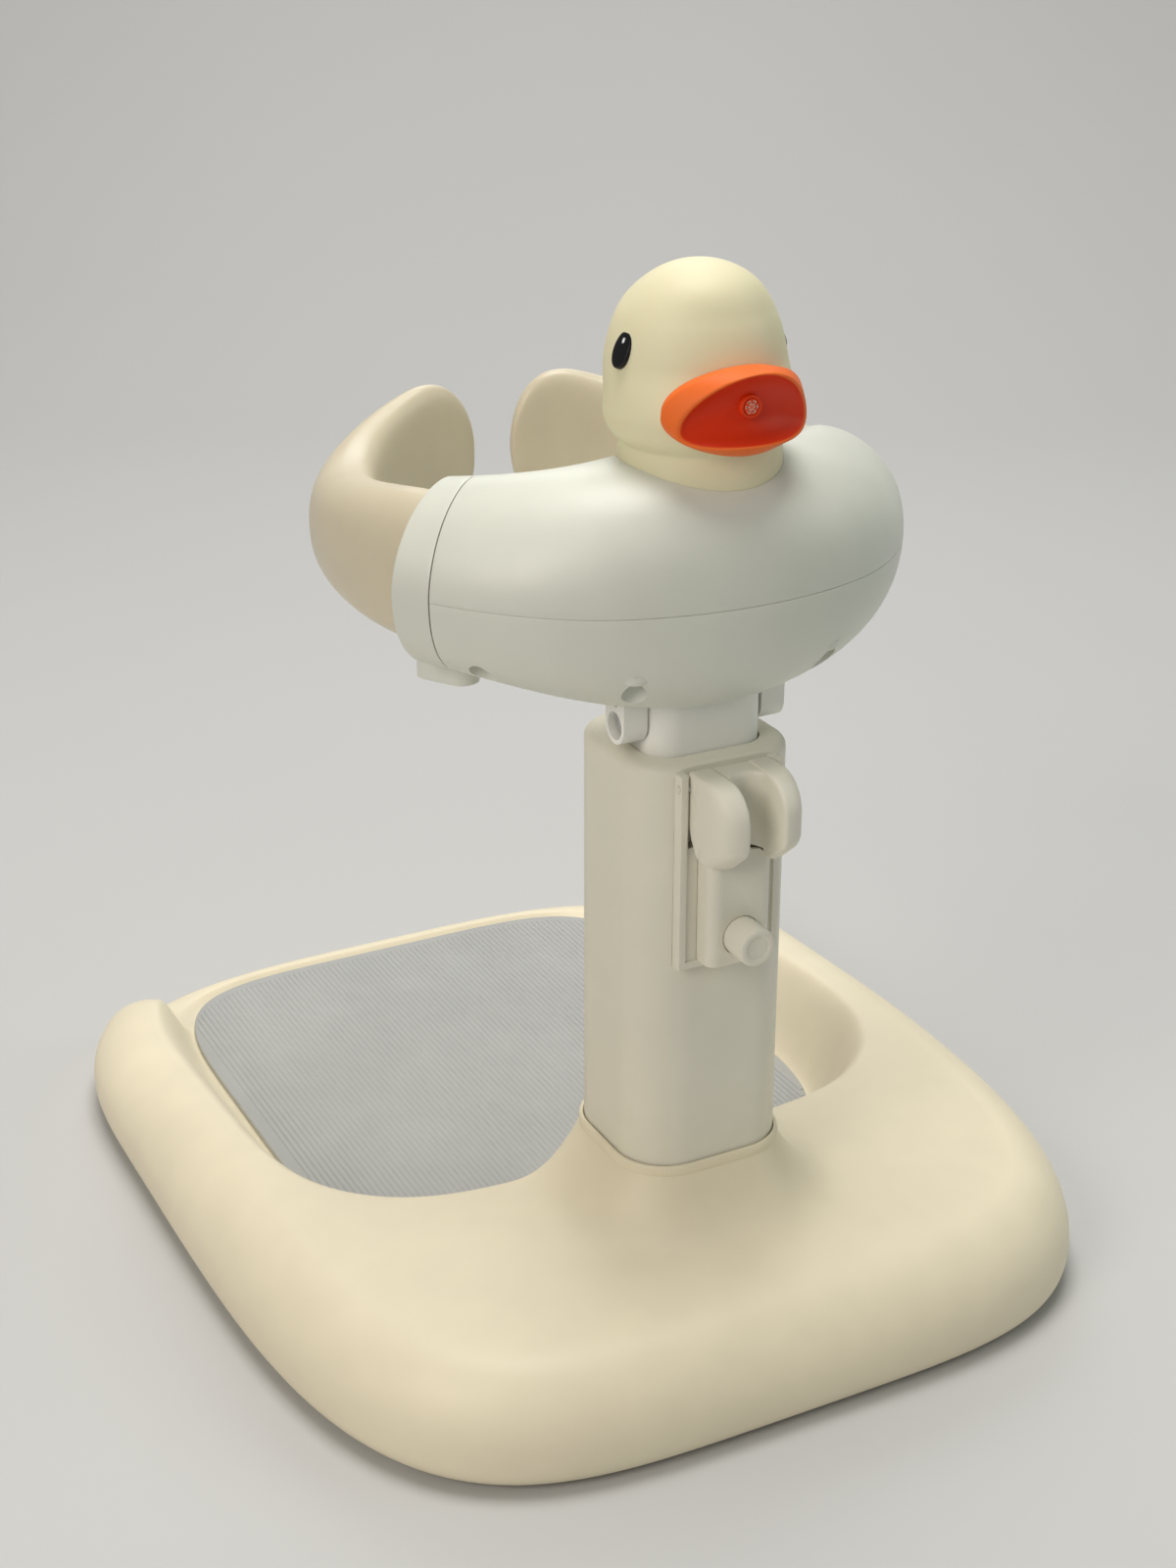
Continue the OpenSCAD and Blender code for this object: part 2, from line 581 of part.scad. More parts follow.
module mast_tube() color("whitesmoke") at_column() difference() {
    translate([0, 0, mast_z0]) bar(mast_w, mast_d, mast_r, mast_z1 - mast_z0);
    translate([0, 0, mast_z0 - 1])
        bar(mast_w - 2 * mast_wall, mast_d - 2 * mast_wall, mast_r - mast_wall, mast_z1 - mast_z0 + 1 - 4);
    translate([0, bolt_y, bolt_z]) rotate([0, 90, 0]) cylinder(r = bolt_r, h = mast_w + 2, center = true);
}

module mast_shoe() color("dimgray") at_column() difference() {
    union() {
        translate([0, 0, mast_z0 - 8])
            bar(col_w - 2 * col_wall - 2 * fit, col_d - 2 * col_wall - 2 * fit, col_r - col_wall - fit, 8);
        translate([0, 0, mast_z0 - e])
            bar(mast_w - 2 * mast_wall, mast_d - 2 * mast_wall, mast_r - mast_wall, shoe_len);
    }
    translate([0, 0, mast_z0 - 9])
        bar(mast_w - 2 * mast_wall - 8, mast_d - 2 * mast_wall - 8, mast_r - mast_wall - 4, shoe_len + 20);
}

// ---- duck body ------------------------------------------------------------

crest = 0.45;                  // where the body is highest, from its hollow back to its breast
down_n = 2.3;                  // squareness of the body's lower half
body_stations = 22;
shell_steps = 12;

function outer_r(a) = mix(breast_r, flank_r, smooth((abs(a) - 20) / 38));
function inner_r(a) = mix(back_r, cuff_in_r, smooth(abs(a) / mouth_a));
function crest_r(a) = mix(inner_r(a), outer_r(a), crest);
function up_h(a) = mix(body_up, cuff_up, (norm([a, 6]) - 6) / (norm([mouth_a, 6]) - 6));
function down_h(a) = mix(body_down, cuff_down, smooth(abs(a) / mouth_a));
function up_n(a) = mix(2.6, 1.8, smooth(abs(a) / 45));
function ring_place(a, r, z, ahead = 0) = [r * sin(a) + ahead * cos(a), ring_y - r * cos(a) + ahead * sin(a), z];
function body_pt(a, th, w) =
    let (c = crest_r(a), n = sin(th) < 0 ? down_n : up_n(a), h = (sin(th) < 0 ? down_h(a) : up_h(a)) - w)
    ring_place(a, c + ((cos(th) > 0 ? outer_r(a) - c : c - inner_r(a)) - w) * spow(cos(th), 2 / n),
        split_z + h * spow(sin(th), 2 / n));
// Height of the body's surface, up (1) or down (-1), at a place in the column's frame
function body_z(p, way, w) =
    let (q = p - [0, ring_y], a = atan2(q[0], -q[1]), c = crest_r(a), n = way > 0 ? up_n(a) : down_n,
        d = min(1, abs(norm(q) - c) / ((norm(q) > c ? outer_r(a) - c : c - inner_r(a)) - w)))
    split_z + way * ((way > 0 ? up_h(a) : down_h(a)) - w) * pow(1 - pow(d, n), 1 / n);

// Half shell: way 1 is the upper one, way -1 the lower one
function half_ring(a, w, way) = [for (i = [0:shell_steps]) body_pt(a, way * 180 * i / shell_steps, w)];
module half_shell(way) difference() {
    skin([for (k = [0:body_stations]) half_ring(mix(seam_a, -seam_a, k / body_stations) * way, 0, way)]);
    skin([for (k = [0:body_stations]) let (a = mix(seam_a + 1, -seam_a - 1, k / body_stations) * way)
        concat(half_ring(a, body_wall, way), [for (th = [180, 0]) body_pt(a, th, body_wall) - [0, 0, 2 * way]])]);
}

shell_screws = [for (s = [-1, 1]) each [[s * 44, -36], [s * 92, 2], [s * 34, 20]]];
shell_boss = 5.5;
shell_hole = 4;
groove_w = 8.4;                 // groove along the bottom of an arm's bar
groove_h = 5;
release_a = 59.2;              // direction of the release buttons, from the front
release_r = 105.5;
release_l = 28.5;
release_w = 15;
release_travel = 3;
release_z0 = split_z - cuff_down - 8;
release_z1 = split_z - arm_h / 2 - release_travel - 0.5;
release_top = split_z - bar_h / 2 + groove_h - release_travel - 0.6;
function release_spot() = ring_place(release_a, release_r, 0);

// Height at which a boss of radius r meets the shell's inner face
function boss_end(p, way, r) = let (q = p - [0, ring_y], side = norm(q) > crest_r(atan2(q[0], -q[1])) ? 1 : -1)
    body_z(p + side * r * unit(q), way, body_wall) + way * 1.2;

module stadium(l, w, h) {
    linear_extrude(h) {
        square([l - w, w], center = true);
        for (s = [-1, 1]) translate([s * (l - w) / 2, 0]) circle(w / 2);
    }
}

module at_release() {
    p = release_spot();
    translate([p[0], p[1], 0]) rotate([0, 0, release_a]) children();
}

module release_pocket(gap) linear_extrude(release_z1 + release_travel + fit) polygon([for (a = [7.5:15:352.5])
    [sign(cos(a)) * (release_l - release_w) / 2 + (release_w / 2 + gap) * cos(a), (release_w / 2 + gap) * sin(a)]]);

module body_lower_shell() color("whitesmoke") at_column() difference() {
    union() {
        difference() {
            half_shell(-1);
            for (s = [-1, 1]) mirrored(s) at_release() release_pocket(2 * fit);
        }
        for (p = shell_screws) let (z = boss_end(p, -1, shell_boss))
            translate([p[0], p[1], z]) cylinder(r = shell_boss, h = split_z - z);
        // ears beside the mast
        for (s = [-1, 1]) translate([s * (mast_w / 2 + fit + ear_w / 2), bolt_y, bolt_z]) rotate([0, 90, 0]) {
            cylinder(r = ear_r, h = ear_w, center = true);
            translate([-ear_r, 0, 0]) cube([2 * ear_r, 2 * ear_r, ear_w], center = true);
        }
        // square sleeve that holds the mast's head
        intersection() {
            translate([0, 0, split_z - body_down]) bar(mast_w + 6, mast_d + 6, mast_r + 3, mast_z1 - split_z + body_down);
            skin([for (a = [-20:4:20]) half_ring(a, 0.4, -1)]);
        }
    }
    bar(mast_w + 2 * fit, mast_d + 2 * fit, mast_r + fit, split_z + 20);
    translate([0, bolt_y, bolt_z]) rotate([0, 90, 0]) {
        cylinder(r = bolt_r + run, h = 2 * mast_w, center = true);
        for (s = [-1, 1]) translate([0, 0, s * (mast_w / 2 + fit + ear_w)]) cylinder(r = 6, h = ear_w, center = true);
    }
    for (p = shell_screws) translate([p[0], p[1], 0]) {
        cylinder(r = shell_hole, h = split_z - 14);
        cylinder(r = 1.7, h = split_z + 1);
    }

}

module body_upper_shell() color("whitesmoke") at_column() difference() {
    union() {
        half_shell(1);
        for (p = shell_screws) translate([p[0], p[1], split_z])
            cylinder(r = shell_boss - 1, h = boss_end(p, 1, shell_boss - 1) - split_z);
    }
    skin(concat([neck_circle(-0.15, split_z + 5)], [for (v = [0, 0.05, 0.1, 0.16]) head_ring(v, -0.15)]));
    for (p = shell_screws) translate([p[0], p[1], split_z - 1]) cylinder(r = 1.6, h = 12);
}

screw_down = 16.2;
screw_l = 24;
module body_screws() color("silver") at_column() for (p = shell_screws) translate([p[0], p[1], split_z - screw_down]) {
    cylinder(r = 3.2, h = 2);
    cylinder(r = 1.55, h = screw_l);
}

module mast_bolts() color("silver") at_column() for (s = [-1, 1])
    translate([s * (mast_w / 2 - mast_wall - 3), bolt_y, bolt_z]) rotate([0, 90 * s, 0]) {
        cylinder(r = bolt_r - 0.02, h = mast_wall + 3 + ear_w / 2 + 1);
        translate([0, 0, mast_wall + 3 + fit + ear_w / 2]) cylinder(r = 4.6, h = 2.5);
    }

// ---- cuffs and arms -------------------------------------------------------

seam_gap = 0.25;               // degrees between body shell and cuff
arm_n = 2.3;                   // squareness of an arm's section
root_t = 31;                   // thickness of an arm's root
tip_t = 18;                    // thickness of an arm's tip
tip_in = 10;                   // how far the tips curl in towards the child
root_in = 4.5;                 // how far an arm's root stands in its cuff
bar_in = 44;
bar_out = 27;
bar_wall = 3;
arm_stations = 22;
arm_sides = 20;
tip_round = 20;                // degrees over which an arm's tip is rounded
tip_a = 180 - asin(tip_gap / 2 / (arm_r - tip_in));

module at_mouth() translate(ring_place(mouth_a, arm_r, split_z)) rotate([0, 0, mouth_a]) children();

function cuff_ring(a) = [for (i = [0:23]) body_pt(a, 15 * i, 0)];

module cuff_body() difference() {
    union() {
        skin([for (k = [0:3]) cuff_ring(mix(mouth_a, seam_a + seam_gap, k / 3))]);
        at_mouth() translate([-bar_in, 0, 0]) rotate([90, 0, 90])
            bar(bar_w + 2 * (fit + bar_wall), bar_h + 2 * (fit + bar_wall), 4, bar_in - 4);
    }
    at_mouth() {
        translate([-bar_in - 1, 0, 0]) rotate([90, 0, 90]) bar(bar_w + 2 * fit, bar_h + 2 * fit, 2 + fit, bar_in + 10);
        translate([-root_in - fit, 0, 0]) rotate([90, 0, 90]) linear_extrude(20) polygon([for (i = [0:arm_sides - 1])
            let (t = 360 * i / arm_sides) oval(root_t / 2 + 0.6, arm_h / 2 + 0.6, arm_n, t)]);
    }
    at_release() {
        release_pocket(1.5 * fit);
        translate([-stem_in, 0, 0]) cylinder(r = stem_r + fit, h = split_z - 10);
    }
}
module cuff_left() color("white") at_column() mirrored(-1) cuff_body();
module cuff_right() color("white") at_column() mirrored(1) cuff_body();

function along(k, v0, v1, v2) = k < 0.45 ? mix(v0, v1, smooth(k / 0.45)) : mix(v1, v2, smooth((k - 0.45) / 0.55));
function tip_scale(a) = let (q = clamp01((a - tip_a + tip_round) / tip_round)) max(0.14, pow(1 - pow(q, 2.2), 1 / 2.2));
function arm_mid(k) = arm_r - 1.5 * smooth(k / 0.4) - (tip_in - 1.5) * pow(clamp01((k - 0.4) / 0.6), 2);
function cup(th, half, k) = cos(th) > 0 ? half * (1 - 0.3 * smooth(k / 0.3) * pow(cos(th), 2)) : half;
function arm_ring(a, w, ahead = 0) =
    let (k = (a - mouth_a) / (tip_a - mouth_a), s = tip_scale(a),
        half = along(k, root_t, arm_t, tip_t) / 2 * mix(1, s, 0.85) - w,
        high = along(k, arm_h, elbow_h, tip_h) / 2 * s - w)
    [for (i = [0:arm_sides - 1]) let (th = 360 * i / arm_sides)
        ring_place(a, arm_mid(k) - cup(th, half, k) * spow(cos(th), 2 / arm_n),
            split_z + along(k, 0, -2, 5) + high * spow(sin(th), 2 / arm_n), ahead)];
arm_list = [for (i = [0:arm_stations]) mix(mouth_a, tip_a, 1 - pow(1 - i / arm_stations, 1.35))];
hollow_list = [for (i = [0:10]) mix(mouth_a + 20, tip_a - 9, i / 10)];

module arm_shell() difference() {
    skin(concat([arm_ring(mouth_a, 0, -root_in)], [for (a = arm_list) arm_ring(a, 0)]));
    skin([for (a = hollow_list) arm_ring(a, 5)]);
    at_mouth() translate([-root_in - 1, 0, 0]) rotate([90, 0, 90]) bar(bar_w, bar_h, 2, bar_out + root_in + 1);
}
module arm_shell_left() color("wheat") at_column() mirrored(-1) arm_shell();
module arm_shell_right() color("wheat") at_column() mirrored(1) arm_shell();

module arm_bar() at_mouth() difference() {
    translate([2 - bar_in, 0, 0]) rotate([90, 0, 90]) bar(bar_w, bar_h, 2, bar_in - 2 + bar_out);
    translate([-bar_in, -groove_w / 2, -bar_h / 2 - 1]) cube([bar_in - root_in, groove_w, groove_h + 1]);
    translate([12 - bar_in, -bar_w, 10 - bar_h / 2]) cube([bar_in - 22, 2 * bar_w, bar_h - 20]);
}
module arm_bar_left() color("gray") at_column() mirrored(-1) arm_bar();
module arm_bar_right() color("gray") at_column() mirrored(1) arm_bar();

stem_r = 2.2;
stem_in = 9.3;                  // how far the stem stands inwards of its button's middle
module arm_release() at_release() {
    translate([0, 0, release_z0]) stadium(release_l, release_w, release_z1 - release_z0);
    translate([-stem_in, 0, release_z1 - e]) cylinder(r = stem_r, h = release_top - release_z1 + e);
}
module arm_release_left() color("white") at_column() mirrored(-1) arm_release();
module arm_release_right() color("white") at_column() mirrored(1) arm_release();

// ---- head -----------------------------------------------------------------

head_y = -8;
neck_z = split_z + body_up - neck_sink;
neck_down = 18;                // how far the neck reaches into the body
head_sides = 30;

// Radius of the head at a share of its own height, from the neck's foot to the crown
function head_prof(v) = v < 0.24
    ? mix(neck_r, head_r, sin(90 * v / 0.24))
    : let (q = (v - 0.24) / 0.76) head_r * (1 - 0.17 * q) * sqrt(max(0, 1 - pow(q, 4.2)));
function head_lean(v) = 4.5 * smooth((v - 0.3) / 0.25) - 2.5 * smooth((v - 0.75) / 0.2);
function head_ring(v, w) = let (r = head_prof(v) - w) [for (i = [0:head_sides - 1]) let (a = 360 * i / head_sides)
    [r * cos(a), head_y + head_lean(v) + r * sin(a), neck_z + (head_h - w) * v]];
function neck_circle(w, z) = [for (i = [0:head_sides - 1]) let (a = 360 * i / head_sides)
    [(neck_r - w) * cos(a), head_y + (neck_r - w) * sin(a), z]];

eye_v = 0.6;                   // height of the eyes, as a share of the head's
eye_turn = 7;                  // how far the eyes are turned to the front
eye_tilt = 66;
eye_sink = 1.3;
eye_r = 7.6;
module at_eye(s) translate([0, head_y + head_lean(eye_v), neck_z + head_h * eye_v]) rotate([0, 0, -s * eye_turn])
    translate([s * (head_prof(eye_v) - eye_sink), 0, 0]) rotate([0, s * eye_tilt, 0]) children();
module eye(gap) scale([1, 0.66, 1]) cylinder(r = eye_r + gap, h = eye_sink + 0.8 + 4 * gap);

module duck_head() color("lemonchiffon") at_column() difference() {
    skin(concat(
        [for (v = [0.985, 0.93, 0.8, 0.62, 0.45, 0.3, 0.15, 0.0]) head_ring(v, head_wall)],
        [neck_circle(head_wall, neck_z - neck_down), neck_circle(0, neck_z - neck_down)],
        [for (v = [0, 0.05, 0.1, 0.16, 0.24, 0.33, 0.43, 0.53, 0.63, 0.73, 0.82, 0.9, 0.955, 0.985, 0.998]) head_ring(v, 0)]));
    skin([beak_ring(0, beak_root + 0.015, 26, 0), beak_ring(0, beak_root + 0.015, -20, 0)]);
    for (s = [-1, 1]) at_eye(s) eye(run);
}

module neck_ring() color("gray") at_column() translate([0, head_y, 0]) difference() {
    union() {
        translate([0, 0, neck_z - neck_down]) cylinder(r = neck_r - head_wall - 0.4, h = neck_down - 2, $fn = 64);
        translate([0, 0, neck_z - neck_down - 3]) cylinder(r = neck_r - 0.5, h = 3, $fn = 64);
        translate([0, 0, mast_z1]) cylinder(r = 12, h = neck_z - neck_down - 3 - mast_z1 + e);
    }
    translate([0, 0, neck_z - neck_down + e]) cylinder(r = neck_r - head_wall - 3, h = neck_down + 2, $fn = 64);
}

beak_z = neck_z + 27.7;
beak_sides = 28;
beak_bend = 14;                // how far the beak's corners lie behind its middle
beak_y = head_y - head_r;
beak_root = 0.79;              // the root's share of the beak's size
lip_out = 6.7;                 // how far the rim of the lips stands in front of the beak's outline
beak_up = 0.545;               // share of the beak's height that lies above its corners

// Lens-shaped ring of the beak: from its outline (k = 0) to the rim of its lips (k = 1), share s of
// its size, dy behind the head's front, and how much it is bent round the head
function beak_pt(k, s, a) =
    let (half = beak_w / 2 - 2.6 * k, high = beak_h * (sin(a) > 0 ? beak_up : 1 - beak_up) - 2.9 * k,
        x = half * s * cos(a), q = pow(x / half, 2))
    [x, q, beak_z + 1.8 * k + high * s * sin(a) - q * mix(0.7, 7, k)];
function beak_ring(k, s, dy, bent = 1) = [for (i = [0:beak_sides - 1]) let (p = beak_pt(k, s, 360 * i / beak_sides))
    [p[0], beak_y + dy + p[1] * beak_bend * bent, p[2]]];
// The same ring laid on the head's front with a small gap
function head_front(p) = let (v = clamp01((p[2] - neck_z) / head_h))
    head_y + head_lean(v) - sqrt(pow(head_prof(v), 2) - p[0] * p[0]);
function seat_ring(s) = [for (i = [0:beak_sides - 1]) let (p = beak_pt(0, s, 360 * i / beak_sides))
    [p[0], head_front(p) - 0.4, p[2]]];

module beak() color("orangered") at_column() difference() {
    skin([beak_ring(0, beak_root, 18.3, 0), seat_ring(beak_root), seat_ring(0.96), beak_ring(0, 1, 0.2),
        beak_ring(0.35, 1, -2.6), beak_ring(0.7, 1, -5), beak_ring(0.92, 1, -6.4), beak_ring(1, 0.985, -lip_out),
        beak_ring(1, 0.94, -6), beak_ring(1, 0.86, -4), beak_ring(1, 0.7, -1.3), beak_ring(1, 0.5, 0.8),
        beak_ring(1, 0.3, 1.8), beak_ring(1, 0.14, 2)]);
    at_vent() cylinder(r = vent_r + fit / 2, h = 8);
}

vent_r = 4.6;
module at_vent() translate([0, beak_y + 1.9, beak_z + 3.3]) rotate([90, 0, 0]) children();
module beak_vent() color("orangered") at_column() at_vent() difference() {
    cylinder(r = vent_r, h = 1.8);
    translate([0, 0, 1.1]) difference() {
        cylinder(r = vent_r - 0.8, h = 2);
        translate([0, 0, -1]) cylinder(r = vent_r - 1.4, h = 4);
    }
    for (i = [0:5]) rotate(60 * i) translate([1.9, 0, -1]) cylinder(r = 0.55, h = 4, $fn = 16);
}

module eyes() color("black") at_column() for (s = [-1, 1]) at_eye(s) eye(0);

base_shell();
base_cover();
standing_mat();
rubber_feet();
base_screws();
column_foot();
column_screws();
column_tube();
latch_frame();
latch_cover();
lever_pin();
release_lever();
clamp_shoe();
clamp_spring();
lock_button();
button_spring();
mast_tube();
mast_shoe();
body_lower_shell();
body_upper_shell();
mast_bolts();
body_screws();
cuff_left();
cuff_right();
arm_bar_left();
arm_bar_right();
arm_shell_left();
arm_shell_right();
arm_release_left();
arm_release_right();
neck_ring();
duck_head();
beak();
beak_vent();
eyes();
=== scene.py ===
# Duck-shaped standing aid for a baby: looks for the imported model.
# Lengths inside the shape functions are millimetres, those of meshes and settings are metres.
import bpy
import bmesh
import numpy as np
from functools import partial
from math import cos, degrees, pi, radians, sin, sqrt
from mathutils import Matrix, Vector
from bpy.props import FloatProperty, FloatVectorProperty, PointerProperty


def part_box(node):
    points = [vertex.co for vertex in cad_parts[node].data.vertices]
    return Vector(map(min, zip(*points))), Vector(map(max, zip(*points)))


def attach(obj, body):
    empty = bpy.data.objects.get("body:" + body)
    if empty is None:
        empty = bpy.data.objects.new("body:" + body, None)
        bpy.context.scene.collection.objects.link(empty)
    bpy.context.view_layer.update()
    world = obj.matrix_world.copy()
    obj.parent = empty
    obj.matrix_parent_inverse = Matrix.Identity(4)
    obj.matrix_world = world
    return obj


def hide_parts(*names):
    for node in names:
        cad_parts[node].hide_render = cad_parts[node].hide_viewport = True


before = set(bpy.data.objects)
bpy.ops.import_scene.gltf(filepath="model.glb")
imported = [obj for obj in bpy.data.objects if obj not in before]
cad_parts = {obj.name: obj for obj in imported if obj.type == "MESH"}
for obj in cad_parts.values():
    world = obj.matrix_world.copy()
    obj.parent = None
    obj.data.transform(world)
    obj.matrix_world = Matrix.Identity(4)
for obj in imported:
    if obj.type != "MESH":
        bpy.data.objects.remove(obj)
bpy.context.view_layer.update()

bl_info = {
    "name": "Duck Standing Aid",
    "version": (1, 0, 0),
    "blender": (4, 5, 0),
    "location": "View3D > Sidebar > Standing Aid",
    "description": "Dresses the packed standing aid in smooth mouldings and plastics",
    "category": "Object",
}

MM = 0.001


def node_size(node, axis):
    low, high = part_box(node)
    return high[axis] - low[axis]


def node_middle(node, axis):
    low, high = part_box(node)
    return (high[axis] + low[axis]) / 2


# Settings ------------------------------------------------------------------


def length(name, text, value, low=0.0, high=1.0):
    return FloatProperty(name=name, description=text, default=value, min=low, max=high,
                         unit="LENGTH", subtype="DISTANCE", precision=4)


def colour(name, text, value):
    return FloatVectorProperty(name=name, description=text, default=value, size=3,
                               min=0.0, max=1.0, subtype="COLOR")


def power(name, text, value):
    return FloatProperty(name=name, description=text, default=value, min=0.0, unit="POWER")


class BaseSettings(bpy.types.PropertyGroup):
    width: length("Width", "Overall width of the base", node_size("base_shell", 0))
    depth: length("Length", "Overall length of the base", node_size("base_shell", 1))
    rail_height: length("Rail height", "Height of the side rails at the front", 0.054)
    rail_width: length("Rail width", "Width of a rail from outer edge to mat well", 0.064)
    lip_height: length("Lip height", "Height of the low lip at the back", 0.0145)
    socket_height: length("Socket height", "Height of the collar round the column", 0.086)
    flare_width: length("Flare width", "Width of the collar's flare at its foot", 0.038)
    mat_height: length("Mat height", "Thickness of the mat under its ribs", 0.003)
    rib_pitch: length("Rib pitch", "Distance between two ribs of the mat", 0.003)
    rib_width: length("Rib width", "Width of a rib at its foot", 0.0021)
    rib_height: length("Rib height", "Height of the mat's ribs", 0.0005)
    moulding: colour("Moulding", "Colour of the base moulding", (0.84, 0.76, 0.57))
    mat: colour("Mat", "Colour of the standing mat", (0.44, 0.445, 0.435))


class BodySettings(bpy.types.PropertyGroup):
    breast_radius: length("Breast radius", "Radius of the breast", 0.149)
    flank_radius: length("Flank radius", "Radius of the flanks", 0.141)
    back_radius: length("Back radius", "Radius of the hollow back", 0.061)
    body_up: length("Upper height", "Height of the body above its joint", 0.0545)
    body_down: length("Lower depth", "Depth of the body below its joint", 0.0535)
    shell_wall: length("Wall", "Wall of the body shells", 0.0026)
    seam_edge: length("Seam edge", "Rounding of the shells' edges at a seam", 0.0004)
    shell: colour("Body", "Colour of the body shells", (0.70, 0.715, 0.635))


class ArmSettings(bpy.types.PropertyGroup):
    arm_radius: length("Radius", "Radius of the arms' middle line", 0.104)
    root_height: length("Root height", "Height of the arms where they leave the cuffs", 0.066)
    elbow_height: length("Elbow height", "Height of the arms at the child's sides", 0.051)
    tip_height: length("Tip height", "Height of the arms' tips", 0.077)
    thickness: length("Thickness", "Thickness of the arms at the sides", 0.036)
    skin: colour("Arms", "Colour of the soft arms", (0.66, 0.59, 0.435))


class HeadSettings(bpy.types.PropertyGroup):
    neck_radius: length("Neck radius", "Radius of the neck", 0.0336)
    head_radius: length("Head radius", "Greatest radius of the head", 0.0393)
    head_height: length("Head height", "Height of the head above the neck's foot", 0.0805)
    beak_width: length("Beak width", "Width of the beak", 0.064)
    beak_height: length("Beak height", "Height of the beak", 0.0345)
    eye_width: length("Eye width", "Width of an eye", 0.01)
    eye_height: length("Eye height", "Height of an eye", 0.0152)
    skin: colour("Head", "Colour of the soft head", (0.79, 0.74, 0.50))
    beak: colour("Beak", "Colour of the beak's lips", (0.88, 0.165, 0.022))
    mouth: colour("Mouth", "Colour of the beak's hollow face", (0.74, 0.034, 0.001))


class LatchSettings(bpy.types.PropertyGroup):
    edge: length("Edge", "Rounding of the latch's edges", 0.0009)
    lever_width: length("Lever width", "Width of the release lever", 0.039)
    lever_reach: length("Lever reach", "Reach of the lever in front of its frame", 0.029)
    notch_width: length("Notch width", "Width of the finger notch", 0.016)
    # The mast's colour is painted lighter than the body's. This stands in for the bounce light that the mast
    # lacks in the body's shadow.
    mast: colour("Mast", "Colour of the mast", (0.88, 0.88, 0.82))
    column: colour("Column", "Colour of the column and its latch", (0.77, 0.745, 0.635))


class StageSettings(bpy.types.PropertyGroup):
    floor: colour("Floor", "Colour of the floor", (0.58, 0.58, 0.575))
    key_power: power("Key light", "Power of the large soft light", 21.0)
    fill_power: power("Fill light", "Power of the light opposite the key", 6.5)
    top_power: power("Top light", "Power of the light overhead", 49.0)
    world: FloatProperty(name="World", description="Strength of the light from all round",
                         default=0.18, min=0.0)
    focal: FloatProperty(name="Focal length", description="Focal length of the camera on 36 mm",
                         default=54.09, min=10.0, subtype="DISTANCE_CAMERA")


GROUPS = {
    "aid_base": BaseSettings,
    "aid_body": BodySettings,
    "aid_arms": ArmSettings,
    "aid_head": HeadSettings,
    "aid_latch": LatchSettings,
    "aid_stage": StageSettings,
}


class Millimetres:
    """The lengths of a group of settings, in millimetres"""

    def __init__(self, group):
        self.group = group

    def __getattr__(self, name):
        return getattr(getattr(bpy.context.scene, self.group), name) / MM


BASE, BODY, ARMS, HEAD, LATCH = (Millimetres(group) for group in list(GROUPS)[:5])


def tint(group, name):
    """A colour of the settings"""
    return (*getattr(getattr(bpy.context.scene, group), name), 1.0)


# Sizes that every piece shares, and mesh helpers ----------------------------

COLUMN_Y = node_middle("column_tube", 1) / MM
COL_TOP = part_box("column_tube")[1].z / MM
COL_W = node_size("column_tube", 0) / MM
COL_D = 73.0
COL_R = 23.0
COL_GAP = 0.4
# Width, depth and corner radius of the bars on the column's axis
COLUMN = (COL_W, COL_D, COL_R)
COLUMN_MOUTH = (55.7, 48.7, 12.8)
MAST = (54.0, 47.0, 12.0)
SOCKET = (60.0, 53.0, 15.0)
MAST_GAP = 0.3
SIDES = ((-1, "left"), (1, "right"))
# Edges of the solids that are softened, in metres
COLUMN_EDGE = 0.0006
TAB_EDGE = 0.001
# Middle of the chest ring from the column's axis, the body's joint, and the neck's foot and axis
RING_Y = 94.0
SPLIT_Z = 347.0
BELOW_BODY = SPLIT_Z - 60
NECK_Z = 394.0
HEAD_Y = -8.0


def spow(v, p):
    return np.sign(v) * np.abs(v) ** p


def mix(a, b, k):
    return a + (b - a) * k


def smooth(k):
    q = np.clip(k, 0, 1)
    return q * q * (3 - 2 * q)


def turns(sides):
    """Angles of evenly spaced points round a ring"""
    return 2 * pi * np.arange(sides) / sides


def at_height(outline, z):
    """Ring of an outline's points at one height, or at a height for each"""
    return np.c_[outline, np.full(len(outline), z)]


def shade(piece, sharp=None):
    """Smooth faces, with sharp edges past an angle in degrees where one is given"""
    piece.data.polygons.foreach_set("use_smooth", [True] * len(piece.data.polygons))
    if sharp is not None:
        piece.data.set_sharp_from_angle(angle=radians(sharp))
    return piece


def make_mesh(name, points, faces, sharp=None):
    """A smooth mesh object from points in the part's frame, in millimetres"""
    mesh = bpy.data.meshes.new(name)
    mesh.from_pydata((np.asarray(points, float) * MM).tolist(), [], [tuple(map(int, f)) for f in faces])
    mesh.validate()
    piece = bpy.data.objects.new(name, mesh)
    bpy.context.scene.collection.objects.link(piece)
    return shade(piece, sharp)


def grid_faces(rows, cols, first=0, closed=True, flip=False):
    """Quads between rows of equally many points"""
    out = []
    for r in range(rows - 1):
        for c in range(cols if closed else cols - 1):
            near, far = first + r * cols, first + (r + 1) * cols
            d = (c + 1) % cols
            quad = (near + c, far + c, far + d, near + d)
            out.append(quad[::-1] if flip else quad)
    return out


